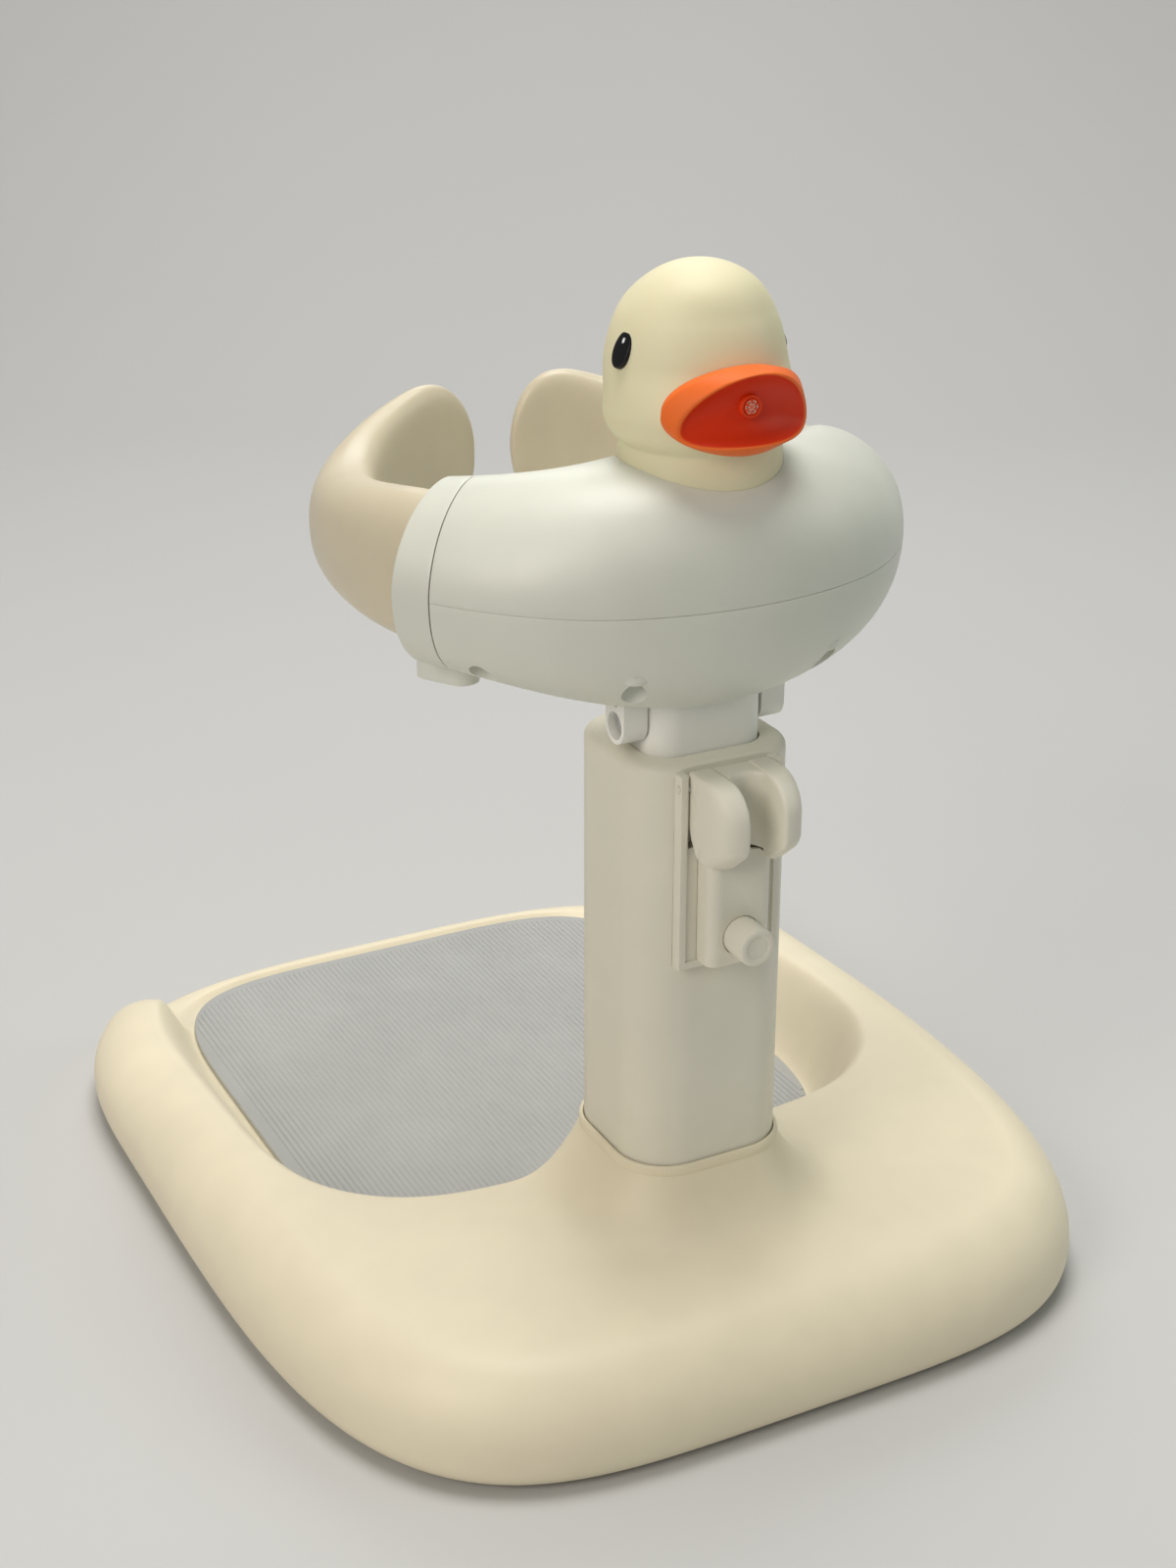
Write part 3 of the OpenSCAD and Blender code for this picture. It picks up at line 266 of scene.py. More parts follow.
def loft(name, rings, sharp=None, capped=True):
    """Solid through rings of equally many points; a fan closes each end if it is capped"""
    rings = [np.asarray(r, float) for r in rings]
    rows, cols = len(rings), len(rings[0])
    points = list(np.concatenate(rings))
    faces = grid_faces(rows, cols)
    for start, ring, flip in ((0, rings[0], False), ((rows - 1) * cols, rings[-1], True)) if capped else ():
        hub = len(points)
        points.append(ring.mean(axis=0))
        for c in range(cols):
            fan = (hub, start + c, start + (c + 1) % cols)
            faces.append(fan[::-1] if flip else fan)
    return make_mesh(name, points, faces, sharp)


def thick_sheet(name, outer, inner, sharp=None):
    """Closed wall between two grids of points, outer with its faces outwards"""
    rows, cols = outer.shape[:2]
    count = rows * cols
    points = np.concatenate([outer.reshape(-1, 3), inner.reshape(-1, 3)])
    faces = grid_faces(rows, cols, 0, closed=False) + grid_faces(rows, cols, count, closed=False, flip=True)
    rim = [(r * cols + c, 1, turn) for c in range(cols - 1) for r, turn in ((0, False), (rows - 1, True))]
    rim += [(r * cols + c, cols, turn) for r in range(rows - 1) for c, turn in ((0, True), (cols - 1, False))]
    for here, step, turn in rim:
        quad = (here, here + step, count + here + step, count + here)
        faces.append(quad[::-1] if turn else quad)
    return make_mesh(name, points, faces, sharp)


def outwards(piece):
    """Turns the faces of a closed mesh outwards"""
    bm = bmesh.new()
    bm.from_mesh(piece.data)
    bmesh.ops.remove_doubles(bm, verts=bm.verts, dist=1e-7)
    bmesh.ops.recalc_face_normals(bm, faces=bm.faces)
    bm.to_mesh(piece.data)
    bm.free()
    return piece


def settle(piece):
    """Replaces a piece's modifiers by their result"""
    bpy.context.view_layer.update()
    done = bpy.data.meshes.new_from_object(piece.evaluated_get(bpy.context.evaluated_depsgraph_get()))
    piece.modifiers.clear()
    piece.data = done
    return piece


def combine(piece, others, operation, sharp=40):
    """Cuts the others out of a piece, or joins them to it, and deletes them"""
    for other in others:
        step = piece.modifiers.new("combine", "BOOLEAN")
        step.object, step.operation, step.solver = other, operation, "EXACT"
    settle(piece)
    for other in others:
        bpy.data.objects.remove(other)
    return shade(piece, sharp)


def bar_outline(w, d, r, grow=0.0, steps=10):
    """Outline of an upright bar on the column's axis, anticlockwise from its +X side"""
    w, d, r = w + 2 * grow, d + 2 * grow, r + grow
    out = []
    for k, (sx, sy) in enumerate(((1, 1), (-1, 1), (-1, -1), (1, -1))):
        for i in range(steps + 1):
            a = radians(90 * k + 90 * i / steps)
            out.append((sx * (w / 2 - r) + r * cos(a), sy * (d / 2 - r) + r * sin(a)))
    return np.array(out) + (0, COLUMN_Y)


def prism(name, outline, z0, z1):
    """Upright solid over an outline, from height z0 to z1"""
    outline = np.asarray(outline, float)
    return loft(name, [at_height(outline, z) for z in (z1, z0)], sharp=30)


def block(name, low, high):
    """Plain box between two corners"""
    outline = [(high[0], high[1]), (low[0], high[1]), (low[0], low[1]), (high[0], low[1])]
    return prism(name, outline, low[2], high[2])


def cylinder(name, radius, high, centre, axis=(0, 0, 1), sides=48):
    """Plain rod or cutter, centred"""
    turn = Vector((0, 0, 1)).rotation_difference(Vector(axis))
    rings = [[turn @ Vector((radius * cos(a), radius * sin(a), z)) + Vector(centre) for a in turns(sides)]
             for z in (high / 2, -high / 2)]
    return loft(name, rings, sharp=30)


def turned(name, profile, place, sides=64, sharp=50):
    """Solid turned from (radius, height) pairs; place maps its axis +Z into the part's frame"""
    rings = [[place @ Vector((r * cos(a), r * sin(a), z)) for a in turns(sides)] for r, z in profile]
    return outwards(loft(name, rings, sharp=sharp))


def softened(name, node, edge, angle=35, segments=3):
    """Copy of a CAD node's solid with its edges rounded by a bevel"""
    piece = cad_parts[node].copy()
    piece.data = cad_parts[node].data.copy()
    piece.parent = None
    piece.name = piece.data.name = name
    for key in list(piece.keys()):
        del piece[key]
    bpy.context.scene.collection.objects.link(piece)
    piece.data.materials.clear()
    bm = bmesh.new()
    bm.from_mesh(piece.data)
    bmesh.ops.remove_doubles(bm, verts=bm.verts, dist=2e-6)
    bmesh.ops.dissolve_limit(bm, angle_limit=radians(1.0), verts=bm.verts, edges=bm.edges)
    bm.to_mesh(piece.data)
    bm.free()
    bevel = piece.modifiers.new("edges", "BEVEL")
    bevel.width, bevel.segments, bevel.limit_method = edge, segments, "ANGLE"
    bevel.angle_limit, bevel.harden_normals, bevel.use_clamp_overlap = radians(angle), False, True
    return shade(settle(piece), 50)


def coat(piece, finish):
    """Gives a piece one material all over"""
    piece.data.materials.clear()
    piece.data.materials.append(finish_of(finish))


def finish_piece(piece, body, finish, *nodes):
    """Gives a finished piece its material and its body, and hides the CAD nodes that it stands for"""
    coat(piece, finish)
    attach(piece, body)
    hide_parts(*nodes)


def dress(finish, *nodes):
    """Gives CAD nodes that stay visible their material"""
    for node in nodes:
        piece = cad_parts[node]
        coat(piece, finish)
        piece.data.polygons.foreach_set("material_index", [0] * len(piece.data.polygons))


def mark(piece, attribute, values):
    """Writes a value for each point, which a material paints by"""
    piece.data.attributes.new(attribute, "FLOAT", "POINT").data.foreach_set("value", values)


# Base: closed rings round the mat well --------------------------------------

# Squareness of the outline: front of the base, its back, and the mat well
BASE_N = 4.2
BACK_N = 3.2
WELL_N = 5.0
# The well starts behind the column's axis and ends inside the back lip
WELL_FRONT = 56.0
LIP_W = 13.0
WELL_Z = 11.0
WELL_WALL = 27.0
# The rails sink towards the back and end in round noses
RAIL_DROP = 12.0
NOSE_BACK = 29.0
NOSE_LEN = 26.0
SHOULDER_W = 32.0
DECK_CROWN = 3.0
FLARE_POWER = 2.9
BASE_WALL = 3.0
FOOT_H = 3.0
EDGE_TUCK = 6.0
EDGE_ROWS = 8
SHOULDER_ROWS = 20
DECK_ROWS = 70
WALL_ROWS = 18
# The mat's notch and its first rib, measured from the column, and the ribs' ends from the well's outline
NOTCH_GAP = 39.0
RIB_GAP = 44.0
RIB_TRIM = 7.0
RIB_SIDES = 16
SHORTEST_RIB = 4.0


class BaseOutline:
    """Rays from the middle of the mat well, and the base's heights along them"""

    def __init__(self):
        self.width, self.rail_w = BASE.width, BASE.rail_width
        self.rail_h, self.lip_h = BASE.rail_height, BASE.lip_height
        self.well_y0 = WELL_FRONT + COLUMN_Y
        self.well_y1 = BASE.depth / 2 - LIP_W
        self.middle = (self.well_y0 + self.well_y1) / 2
        self.well_a = self.width / 2 - self.rail_w
        self.well_b = (self.well_y1 - self.well_y0) / 2
        t = self.even_turns()
        edge = self.edge(t)
        self.edge_len = np.linalg.norm(edge, axis=1)
        self.ray = edge / self.edge_len[:, None]
        self.well_len = self.reach(self.ray, self.well_a, self.well_b, WELL_N)
        n, half = self.corner(t), self.half(t)
        self.edge_cos = self.slant(edge, self.width / 2, half, n)
        self.well_cos = self.slant(self.ray * self.well_len[:, None], self.well_a, self.well_b, WELL_N)
        self.band = self.edge_len - self.well_len
        self.shoulder = np.minimum(SHOULDER_W / self.edge_cos, 0.58 * self.band)
        share = mix(0.36, 0.43, np.clip((self.band - 20) / 40, 0, 1))
        self.wall_run = np.minimum(WELL_WALL / self.well_cos, share * self.band)
        self.crest = self.crest_z(edge[:, 1] + self.middle)
        self.side = np.minimum(16, 0.6 * self.crest)

    def half(self, t):
        """Half length of the outline, in front of the well's middle or behind it"""
        return BASE.depth / 2 + np.where(np.sin(t) < 0, self.middle, -self.middle)

    def corner(self, t):
        """Squareness of the outline, in front or behind"""
        return np.where(np.sin(t) < 0, BASE_N, BACK_N)

    def edge(self, t):
        """Points of the base's outer edge"""
        n = self.corner(t)
        return np.c_[self.width / 2 * spow(np.cos(t), 2 / n), self.half(t) * spow(np.sin(t), 2 / n)]

    def even_turns(self):
        """Turns spaced evenly along the outline, closer in front of the column"""
        t = np.linspace(0, 2 * pi, 40001)
        p = self.edge(t)
        step = np.linalg.norm(np.diff(p, axis=0), axis=1)
        middle = (p[1:] + p[:-1]) / 2
        near = (middle[:, 1] < 0) & (np.abs(middle[:, 0]) < 135)
        along = np.r_[0, np.cumsum(step * np.where(near, 2.2, 1.0))]
        return np.interp(np.linspace(0, along[-1], 421)[:-1], along, t)

    @staticmethod
    def reach(v, a, b, n):
        """Distance to a squared oval's outline along each ray"""
        return ((np.abs(v[:, 0]) / a) ** n + (np.abs(v[:, 1]) / b) ** n) ** (-1 / n)

    def slant(self, p, a, b, n):
        """Cosine between each ray and the outline's normal where they meet"""
        normal = np.c_[spow(p[:, 0] / a, n - 1) / a, spow(p[:, 1] / b, n - 1) / b]
        normal /= np.linalg.norm(normal, axis=1)[:, None]
        return np.maximum(0.4, (self.ray * normal).sum(axis=1))

    def crest_z(self, y):
        """Greatest height of the moulding at a place along the base"""
        along = (y - self.well_y0) / (self.well_y1 - self.well_y0 - NOSE_BACK)
        rail = self.rail_h - RAIL_DROP * smooth(along)
        k = np.clip(1 - (BASE.depth / 2 - y - NOSE_BACK) / NOSE_LEN, 0, 1)
        return self.lip_h + (rail - self.lip_h) * np.sqrt(1 - k * k)

    def ring(self, reach, z):
        """Ring at a distance along the rays"""
        p = self.ray * reach[:, None]
        return np.c_[p[:, 0], p[:, 1] + self.middle, z * np.ones(len(p))]

    def from_edge(self, d, z):
        """Ring at a distance inside the outer edge"""
        return self.ring(self.edge_len - d, z)

    def shoulder_ring(self, ph, w=0.0):
        """Ring at angle ph of the rounded shoulder"""
        low = np.minimum(w, 0.2 * self.crest)
        return self.from_edge(mix(self.shoulder, w, cos(ph)),
                              self.side + (self.crest - low - self.side) * sin(ph))

    def deck_ring(self, u, w=0.0):
        """Ring at share u of the deck between shoulder and well"""
        rest = self.band - self.shoulder - self.wall_run
        crown = DECK_CROWN * np.clip(rest / self.width * 4, 0, 1) * 4 * u * (1 - u)
        return self.from_edge(self.shoulder + rest * u, self.crest - np.minimum(w, 0.2 * self.crest) + crown)

    def well_ring(self, k, w=0.0):
        """Ring at share k of the wall down to the well's floor"""
        z = mix(self.crest, WELL_Z, smooth(k)) - np.minimum(w, 0.2 * self.crest)
        inset = w * min(1, 2 * k) * np.minimum(1, self.band / 16)
        return self.ring(self.well_len + self.wall_run * (1 - k) + inset, z)


def mat_sheet():
    """Flat sheet of the mat with a softened rim, notched round the collar"""
    line, top = BaseOutline(), WELL_Z + BASE.mat_height
    rim = [(1.0, WELL_Z + 0.05), (1.0, top - 0.8), (1.2, top - 0.25), (1.8, top)]
    rings = [line.ring(line.well_len * 0.05, WELL_Z + 0.05)]
    rings += [line.ring(line.well_len - d, z) for d, z in rim] + [line.ring(line.well_len * 0.05, top)]
    w, d = COL_W / 2 + NOTCH_GAP, COL_D / 2 + NOTCH_GAP
    notch = block("notch", (-w, COLUMN_Y - d, 0), (w, COLUMN_Y + d, 40))
    return combine(outwards(loft("standing_mat_ribbed", rings)), [notch], "DIFFERENCE", 40)


def rib_tree():
    """Half-round ribs side by side, each trimmed to the outline of the mat well"""
    tree = bpy.data.node_groups.new("Mat Ribs", "GeometryNodeTree")
    tree.is_modifier = True
    names = ("Pitch", "Rib Width", "Rib Height", "Half Width", "Half Length", "Squareness", "Middle",
             "Start", "Trim", "Top")
    kinds = {"Geometry": "Geometry", **dict.fromkeys(names, "Float"), "Material": "Material"}
    ids = {name: tree.interface.new_socket(name, in_out="INPUT", socket_type="NodeSocket" + kind).identifier
           for name, kind in kinds.items()}
    tree.interface.new_socket("Geometry", in_out="OUTPUT", socket_type="NodeSocketGeometry")
    take = add(tree, "NodeGroupInput").outputs

    calc = partial(maths, tree)
    times, plus, minus = sums(tree)

    def vector(x=0.0, y=0.0, z=0.0):
        return add(tree, "ShaderNodeCombineXYZ", {0: x, 1: y, 2: z}).outputs[0]

    room = minus(take["Half Width"], take["Trim"])
    side_count = calc("FLOOR", calc("DIVIDE", room, take["Pitch"]))
    first = times(times(side_count, take["Pitch"]), -1.0)
    row = add(tree, "GeometryNodeMeshLine", {
        "Count": calc("MULTIPLY_ADD", side_count, 2.0, 1.0), "Start Location": vector(first),
        "Offset": vector(take["Pitch"])}, mode="OFFSET")
    spot = add(tree, "ShaderNodeSeparateXYZ", {0: add(tree, "GeometryNodeInputPosition").outputs[0]})
    share = calc("DIVIDE", calc("ABSOLUTE", spot.outputs["X"]), take["Half Width"])
    rest = minus(1.0, calc("POWER", share, take["Squareness"]))
    curve = calc("POWER", calc("MAXIMUM", rest, 0.0), calc("DIVIDE", 1.0, take["Squareness"]))
    reach = minus(times(curve, take["Half Length"]), take["Trim"])
    far = plus(take["Middle"], reach)
    near = calc("MAXIMUM", minus(take["Middle"], reach), take["Start"])
    run, middle = minus(far, near), times(plus(far, near), 0.5)
    shift = add(tree, "GeometryNodeSetPosition", {
        "Geometry": row.outputs["Mesh"], "Offset": vector(0.0, middle, take["Top"])})
    rod = add(tree, "GeometryNodeMeshCylinder", {"Vertices": RIB_SIDES, "Radius": 1.0, "Depth": 1.0})
    place = add(tree, "GeometryNodeInstanceOnPoints", {
        "Points": shift.outputs["Geometry"], "Selection": calc("GREATER_THAN", run, SHORTEST_RIB * MM),
        "Instance": rod.outputs["Mesh"], "Rotation": (pi / 2, 0.0, 0.0),
        "Scale": vector(times(take["Rib Width"], 0.5), take["Rib Height"], run)})
    real = add(tree, "GeometryNodeRealizeInstances", {"Geometry": place.outputs["Instances"]})
    join = add(tree, "GeometryNodeJoinGeometry", {"Geometry": real.outputs["Geometry"]})
    feed(tree, join.inputs["Geometry"], take["Geometry"])
    paint = add(tree, "GeometryNodeSetMaterial", {
        "Geometry": join.outputs["Geometry"], "Material": take["Material"]})
    add(tree, "NodeGroupOutput", {"Geometry": paint.outputs["Geometry"]})
    return tree, ids


def lay_ribs(piece, material):
    """Adds the ribs to the mat's sheet"""
    line, settings = BaseOutline(), bpy.context.scene.aid_base
    ribs = piece.modifiers.new("ribs", "NODES")
    ribs.node_group, ids = rib_tree()
    values = {
        "Pitch": settings.rib_pitch, "Rib Width": settings.rib_width, "Rib Height": settings.rib_height,
        "Half Width": line.well_a * MM, "Half Length": line.well_b * MM, "Squareness": WELL_N,
        "Middle": line.middle * MM, "Start": (COLUMN_Y + COL_D / 2 + RIB_GAP) * MM, "Trim": RIB_TRIM * MM,
        "Top": WELL_Z * MM + settings.mat_height, "Material": material}
    for name, value in values.items():
        ribs[ids[name]] = value
    return shade(settle(piece), 50)


def column_gap(x, y):
    """Distance outside the column's outline"""
    qx = np.abs(x) - (COL_W / 2 - COL_R)
    qy = np.abs(y - COLUMN_Y) - (COL_D / 2 - COL_R)
    return np.hypot(np.maximum(qx, 0), np.maximum(qy, 0)) + np.minimum(np.maximum(qx, qy), 0) - COL_R


def raise_collar(ring):
    """Lifts the points near the column into the collar's flare"""
    u = np.clip(column_gap(ring[:, 0], ring[:, 1]) / BASE.flare_width, 0, 1)
    ring[:, 2] += (BASE.socket_height - ring[:, 2]) * (1 - u) ** FLARE_POWER
    return ring


def base_moulding():
    """The hollow moulding: inner face, foot, rounded shoulder, deck and well, with the column's hole"""
    line = BaseOutline()
    inner = [line.ring(line.well_len * 0.05, WELL_Z - BASE_WALL)]
    inner.append(line.ring(line.well_len + BASE_WALL * np.minimum(1, line.band / 16), WELL_Z - BASE_WALL))
    inner += [line.well_ring(0.5, BASE_WALL), line.well_ring(0, BASE_WALL)]
    inner += [line.shoulder_ring(radians(a), BASE_WALL) for a in (90, 60, 30)]
    inner.append(line.from_edge(BASE_WALL / line.edge_cos, line.side))
    inner.append(line.from_edge((EDGE_TUCK + BASE_WALL) / line.edge_cos, FOOT_H))
    outer, start = [line.from_edge((EDGE_TUCK + 0.5) / line.edge_cos, FOOT_H)], FOOT_H + 0.4
    for k in range(EDGE_ROWS + 1):
        a = radians(90 * k / EDGE_ROWS)
        tuck = EDGE_TUCK * (1 - sin(a)) / line.edge_cos
        outer.append(line.from_edge(tuck, start + (line.side - FOOT_H - 0.4) * (1 - cos(a))))
    top = [line.shoulder_ring(radians(90 * k / SHOULDER_ROWS)) for k in range(1, SHOULDER_ROWS + 1)]
    top += [line.deck_ring(k / DECK_ROWS) for k in range(1, DECK_ROWS)]
    top += [line.well_ring(k / WALL_ROWS) for k in range(WALL_ROWS + 1)]
    top += [line.ring(line.well_len * (1 - k / 24), WELL_Z) for k in range(1, 10)]
    top += [line.ring(line.well_len * s, WELL_Z) for s in (0.5, 0.35, 0.2, 0.05)]
    piece = loft("base_moulding", inner + outer + [raise_collar(r) for r in top], sharp=50)
    hole = prism("hole", bar_outline(*COLUMN, COL_GAP), -5, 120)
    return combine(outwards(piece), [hole], "DIFFERENCE", 42)


def collar_lip():
    """Thin lip along the collar's upper edge"""
    rows = [(0.45, -4), (0.4, -0.1), (0.55, 0.3), (0.9, 0.5), (1.5, 0.5), (1.95, 0.25), (2.2, -0.3),
            (2.5, -1.6), (2.2, -4)]
    rings = [at_height(bar_outline(*COLUMN, d), BASE.socket_height + z) for d, z in rows + rows[:1]]
    return outwards(loft("collar_lip", rings, sharp=50, capped=False))


# Duck body: a swept, squared-off section round the chest ring ---------------

# Angles from the front at which the shells end and the arms come out
SEAM_A = 52.5
MOUTH_A = 60.0
# Share of the section at which it is highest, and the squareness of its lower half
CREST = 0.45
DOWN_N = 2.3
CUFF_IN_R = 72.0
CUFF_UP = 39.5
CUFF_DOWN = 37.5


def place_round(a, r, z, ahead=0.0):
    """Points at angles a (degrees from the front) and radii r round the chest ring"""
    a, r, z = np.broadcast_arrays(np.radians(a), r, z)
    return np.stack([r * np.sin(a) + ahead * np.cos(a),
                     RING_Y - r * np.cos(a) + ahead * np.sin(a) + COLUMN_Y, z], axis=-1)


def section_sizes(a):
    """Outer, inner and crest radius, and depth below the joint, at an angle from the front"""
    outer = mix(BODY.breast_radius, BODY.flank_radius, smooth((np.abs(a) - 20) / 38))
    inner = mix(BODY.back_radius, CUFF_IN_R, smooth(np.abs(a) / MOUTH_A))
    down = mix(BODY.body_down, CUFF_DOWN, smooth(np.abs(a) / MOUTH_A))
    return outer, inner, mix(inner, outer, CREST), down


def body_points(a, th, w):
    """Points of the duck body's surface, w inside it"""
    outer, inner, crest, down = section_sizes(a)
    soft = (np.hypot(a, 6) - 6) / (np.hypot(MOUTH_A, 6) - 6)
    up = mix(BODY.body_up, CUFF_UP, soft)
    t = np.radians(th)
    below = np.sin(t) < -1e-9
    n = np.where(below, DOWN_N, mix(2.6, 1.8, smooth(np.abs(a) / 45)))
    high = np.where(below, down, up) - w
    half = np.where(np.cos(t) > 0, outer - crest, crest - inner) - w
    return place_round(a, crest + half * spow(np.cos(t), 2 / n), SPLIT_Z + high * spow(np.sin(t), 2 / n))


def edge_shares(count, first, span):
    """Shares from 0 to 1 with extra rows beside each end, and each row's drop"""
    near = np.array([0, 0.15, 0.4, 1.0]) * first / span
    inside = np.linspace(near[-1], 1 - near[-1], count)
    shares = np.r_[near[:-1], inside, 1 - near[:-1][::-1]]
    s = np.clip(np.minimum(shares, 1 - shares) * span / first, 0, 1)
    return shares, 1 - np.sqrt(1 - (1 - s) ** 2)


def body_shell(name, way):
    """Upper (way 1) or lower (way -1) half of the body, with its wall and its seam's edges"""
    edge = BODY.seam_edge
    shares, drop_a = edge_shares(140, edge, 270)
    a = mix(-SEAM_A, SEAM_A, shares)[:, None]
    shares, drop_t = edge_shares(56, edge, 180)
    t = way * 180 * shares[None, :]
    drop = edge * np.maximum(drop_a[:, None], drop_t[None, :])
    grids = [body_points(a, t, drop), body_points(a, t, BODY.shell_wall + 0 * drop)]
    limit = np.maximum if way > 0 else np.minimum
    for grid in grids:
        grid[:, :, 2] = limit(grid[:, :, 2], SPLIT_Z + way * 0.05)
    outer, inner = grids if way > 0 else [grid[:, ::-1] for grid in grids]
    return outwards(thick_sheet(name, outer, inner, sharp=50))


SHELL_SCREWS = [(s * x, y) for s in (-1, 1) for x, y in ((44, -36), (92, 2), (34, 20))]
WELL_DEEP = 8.0
WELL_RIM = 1.2
BOSS_R = 7.1
RECESS_R = 5.1
RECESS_SIDE_R = 5.7
# Place of a release tab round the chest ring, and its size
RELEASE_A = 59.2
RELEASE_R = 105.5
RELEASE_L = 28.5
RELEASE_W = 15.0
# The arms' tips lie inside the ring's radius, a gap apart
TIP_IN = 10.0
TIP_GAP = 20.0
TIP_ROUND = 20.0
ARM_N = 2.3
ARM_SIDES = 72


def stadium(side, grow):
    """Outline of a release tab, grown, under the cuff on one side"""
    out = []
    for a in turns(40) + pi / 40:
        half = (RELEASE_L - RELEASE_W) / 2 * (1 if cos(a) > 0 else -1)
        x, y = half + (RELEASE_W / 2 + grow) * cos(a), (RELEASE_W / 2 + grow) * sin(a)
        t = radians(RELEASE_A)
        px = RELEASE_R * sin(t) + x * cos(t) - y * sin(t)
        py = RING_Y - RELEASE_R * cos(t) + x * sin(t) + y * cos(t)
        out.append((side * px, py + COLUMN_Y))
    return out if side > 0 else out[::-1]


def belly_z(x, y):
    """Height of the body's underside at a place in the column's frame"""
    far = np.hypot(x, RING_Y - y)
    outer, inner, crest, down = section_sizes(np.degrees(np.arctan2(x, RING_Y - y)))
    d = np.minimum(1, np.abs(far - crest) / np.where(far > crest, outer - crest, crest - inner))
    return SPLIT_Z - down * (1 - d ** DOWN_N) ** (1 / DOWN_N)


def screw_wells():
    """Bosses inside the lower shell and the recesses cut into them"""
    bosses, recesses = [], []
    t, foot = turns(48), SPLIT_Z - 114
    for x, y in SHELL_SCREWS:
        floor = float(belly_z(x, y)) + WELL_DEEP
        px, py = x + BOSS_R * np.cos(t), y + BOSS_R * np.sin(t)
        outline, low = np.c_[px, py + COLUMN_Y], np.minimum(belly_z(px, py) + WELL_RIM, floor)
        rings = [at_height(outline, z) for z in (floor + 2 * WELL_RIM, low)]
        bosses.append(outwards(loft("boss", rings, sharp=40)))
        radius = RECESS_SIDE_R if abs(x) > 80 else RECESS_R
        recesses.append(cylinder("recess", radius, floor - foot, (x, y + COLUMN_Y, (floor + foot) / 2)))
    return bosses, recesses


def arm_ring(a, ahead=0.0, grow=0.0):
    """Ring of an arm at an angle from the front, right side"""
    tip_a = arm_tip_angle()
    k = (a - MOUTH_A) / (tip_a - MOUTH_A)
    q = np.clip((a - tip_a + TIP_ROUND) / TIP_ROUND, 0, 1)
    s = max(0.0, 1 - q ** 2.2) ** (1 / 2.2)

    def along(root, elbow, tip):
        if k < 0.45:
            return mix(root, elbow, smooth(k / 0.45))
        return mix(elbow, tip, smooth((k - 0.45) / 0.55))

    th = turns(ARM_SIDES)
    half = along(31.0, ARMS.thickness, 18.0) / 2 * mix(1, s, 0.85) + grow
    high = along(ARMS.root_height, ARMS.elbow_height, ARMS.tip_height) / 2 * s + grow
    middle = ARMS.arm_radius - 1.5 * smooth(k / 0.4) - (TIP_IN - 1.5) * np.clip((k - 0.4) / 0.6, 0, 1) ** 2
    cup = np.where(np.cos(th) > 0, half * (1 - 0.3 * smooth(k / 0.3) * np.cos(th) ** 2), half)
    return place_round(a, middle - cup * spow(np.cos(th), 2 / ARM_N),
                       SPLIT_Z + along(0, -2, 5) + high * spow(np.sin(th), 2 / ARM_N), ahead)


def arm_tip_angle():
    """Angle from the front at which an arm ends"""
    return 180 - degrees(np.arcsin(TIP_GAP / 2 / (ARMS.arm_radius - TIP_IN)))


def mirrored(rings, side):
    return [np.asarray(r) * (side, 1, 1) for r in rings]


def arm(name, side):
    """One soft arm, from inside its cuff to its rounded tip"""
    shares = 1 - (1 - np.linspace(0, 1, 110)) ** 1.35
    rings = [arm_ring(MOUTH_A, ahead=-4.5)]
    rings += [arm_ring(mix(MOUTH_A, arm_tip_angle(), k)) for k in shares[:-1]]
    return outwards(loft(name, mirrored(rings, side), sharp=50))


def cuff(name, side):
    """End of the body that an arm comes out of, with its oval recess"""
    th, edge = np.arange(ARM_SIDES) * 5.0, 1.1

    def section(angle, w):
        return body_points(np.full(ARM_SIDES, angle), th, w)

    rings = [section(mix(SEAM_A + 0.25, MOUTH_A, share), d)
             for d, share in ((2.2, 0.0), (0.15, 0.0), (0.05, 0.03), (0, 0.07))]
    rings += [section(mix(SEAM_A + 0.8, MOUTH_A - 0.6, k / 7), 0) for k in range(1, 8)]
    for i in range(1, 6):
        b = radians(90 * i / 5)
        rings.append(section(MOUTH_A - 0.6 * (1 - sin(b)), edge * (1 - cos(b))))
    mouth, floor = (np.roll(arm_ring(MOUTH_A, ahead=d, grow=0.6)[::-1], 37, axis=0) for d in (0, -4.8))
    rings += [mix(rings[-1], mouth, 0.5), mix(rings[-1], mouth, 0.93), mouth, floor]
    return outwards(loft(name, mirrored(rings, side), sharp=40))


# Head and beak --------------------------------------------------------------


def head_profile(v):
    """Radius of the head at share v of its height: a ball that meets the neck in a soft fold"""
    neck_r, head_r = HEAD.neck_radius, HEAD.head_radius
    v = np.asarray(v, float)
    q, t = (v - 0.24) / 0.76, np.clip((0.3 - v) / 0.29, 0, 1)
    ball = head_r * (1 - 0.17 * q) * np.sqrt(np.maximum(0, 1 - np.abs(q) ** 4.2)) * np.sqrt(1 - t * t)
    neck = np.where(v < 0.3, neck_r - 0.9 * smooth(v / 0.14), 0)
    return 0.5 * (ball + neck + np.sqrt((ball - neck) ** 2 + np.where(v < 0.3, 0.6 * (0.3 - v) / 0.3, 0)))


def head_lean(v):
    """How far the head's ball sits behind the neck's axis"""
    return 4.5 * smooth((v - 0.3) / 0.25) - 2.5 * smooth((v - 0.75) / 0.2)


def neck_points(r, z, lean=0.0):
    """Round ring of the neck or the head"""
    t = turns(96)
    return at_height(np.c_[r * np.cos(t), HEAD_Y + lean + r * np.sin(t) + COLUMN_Y], z)


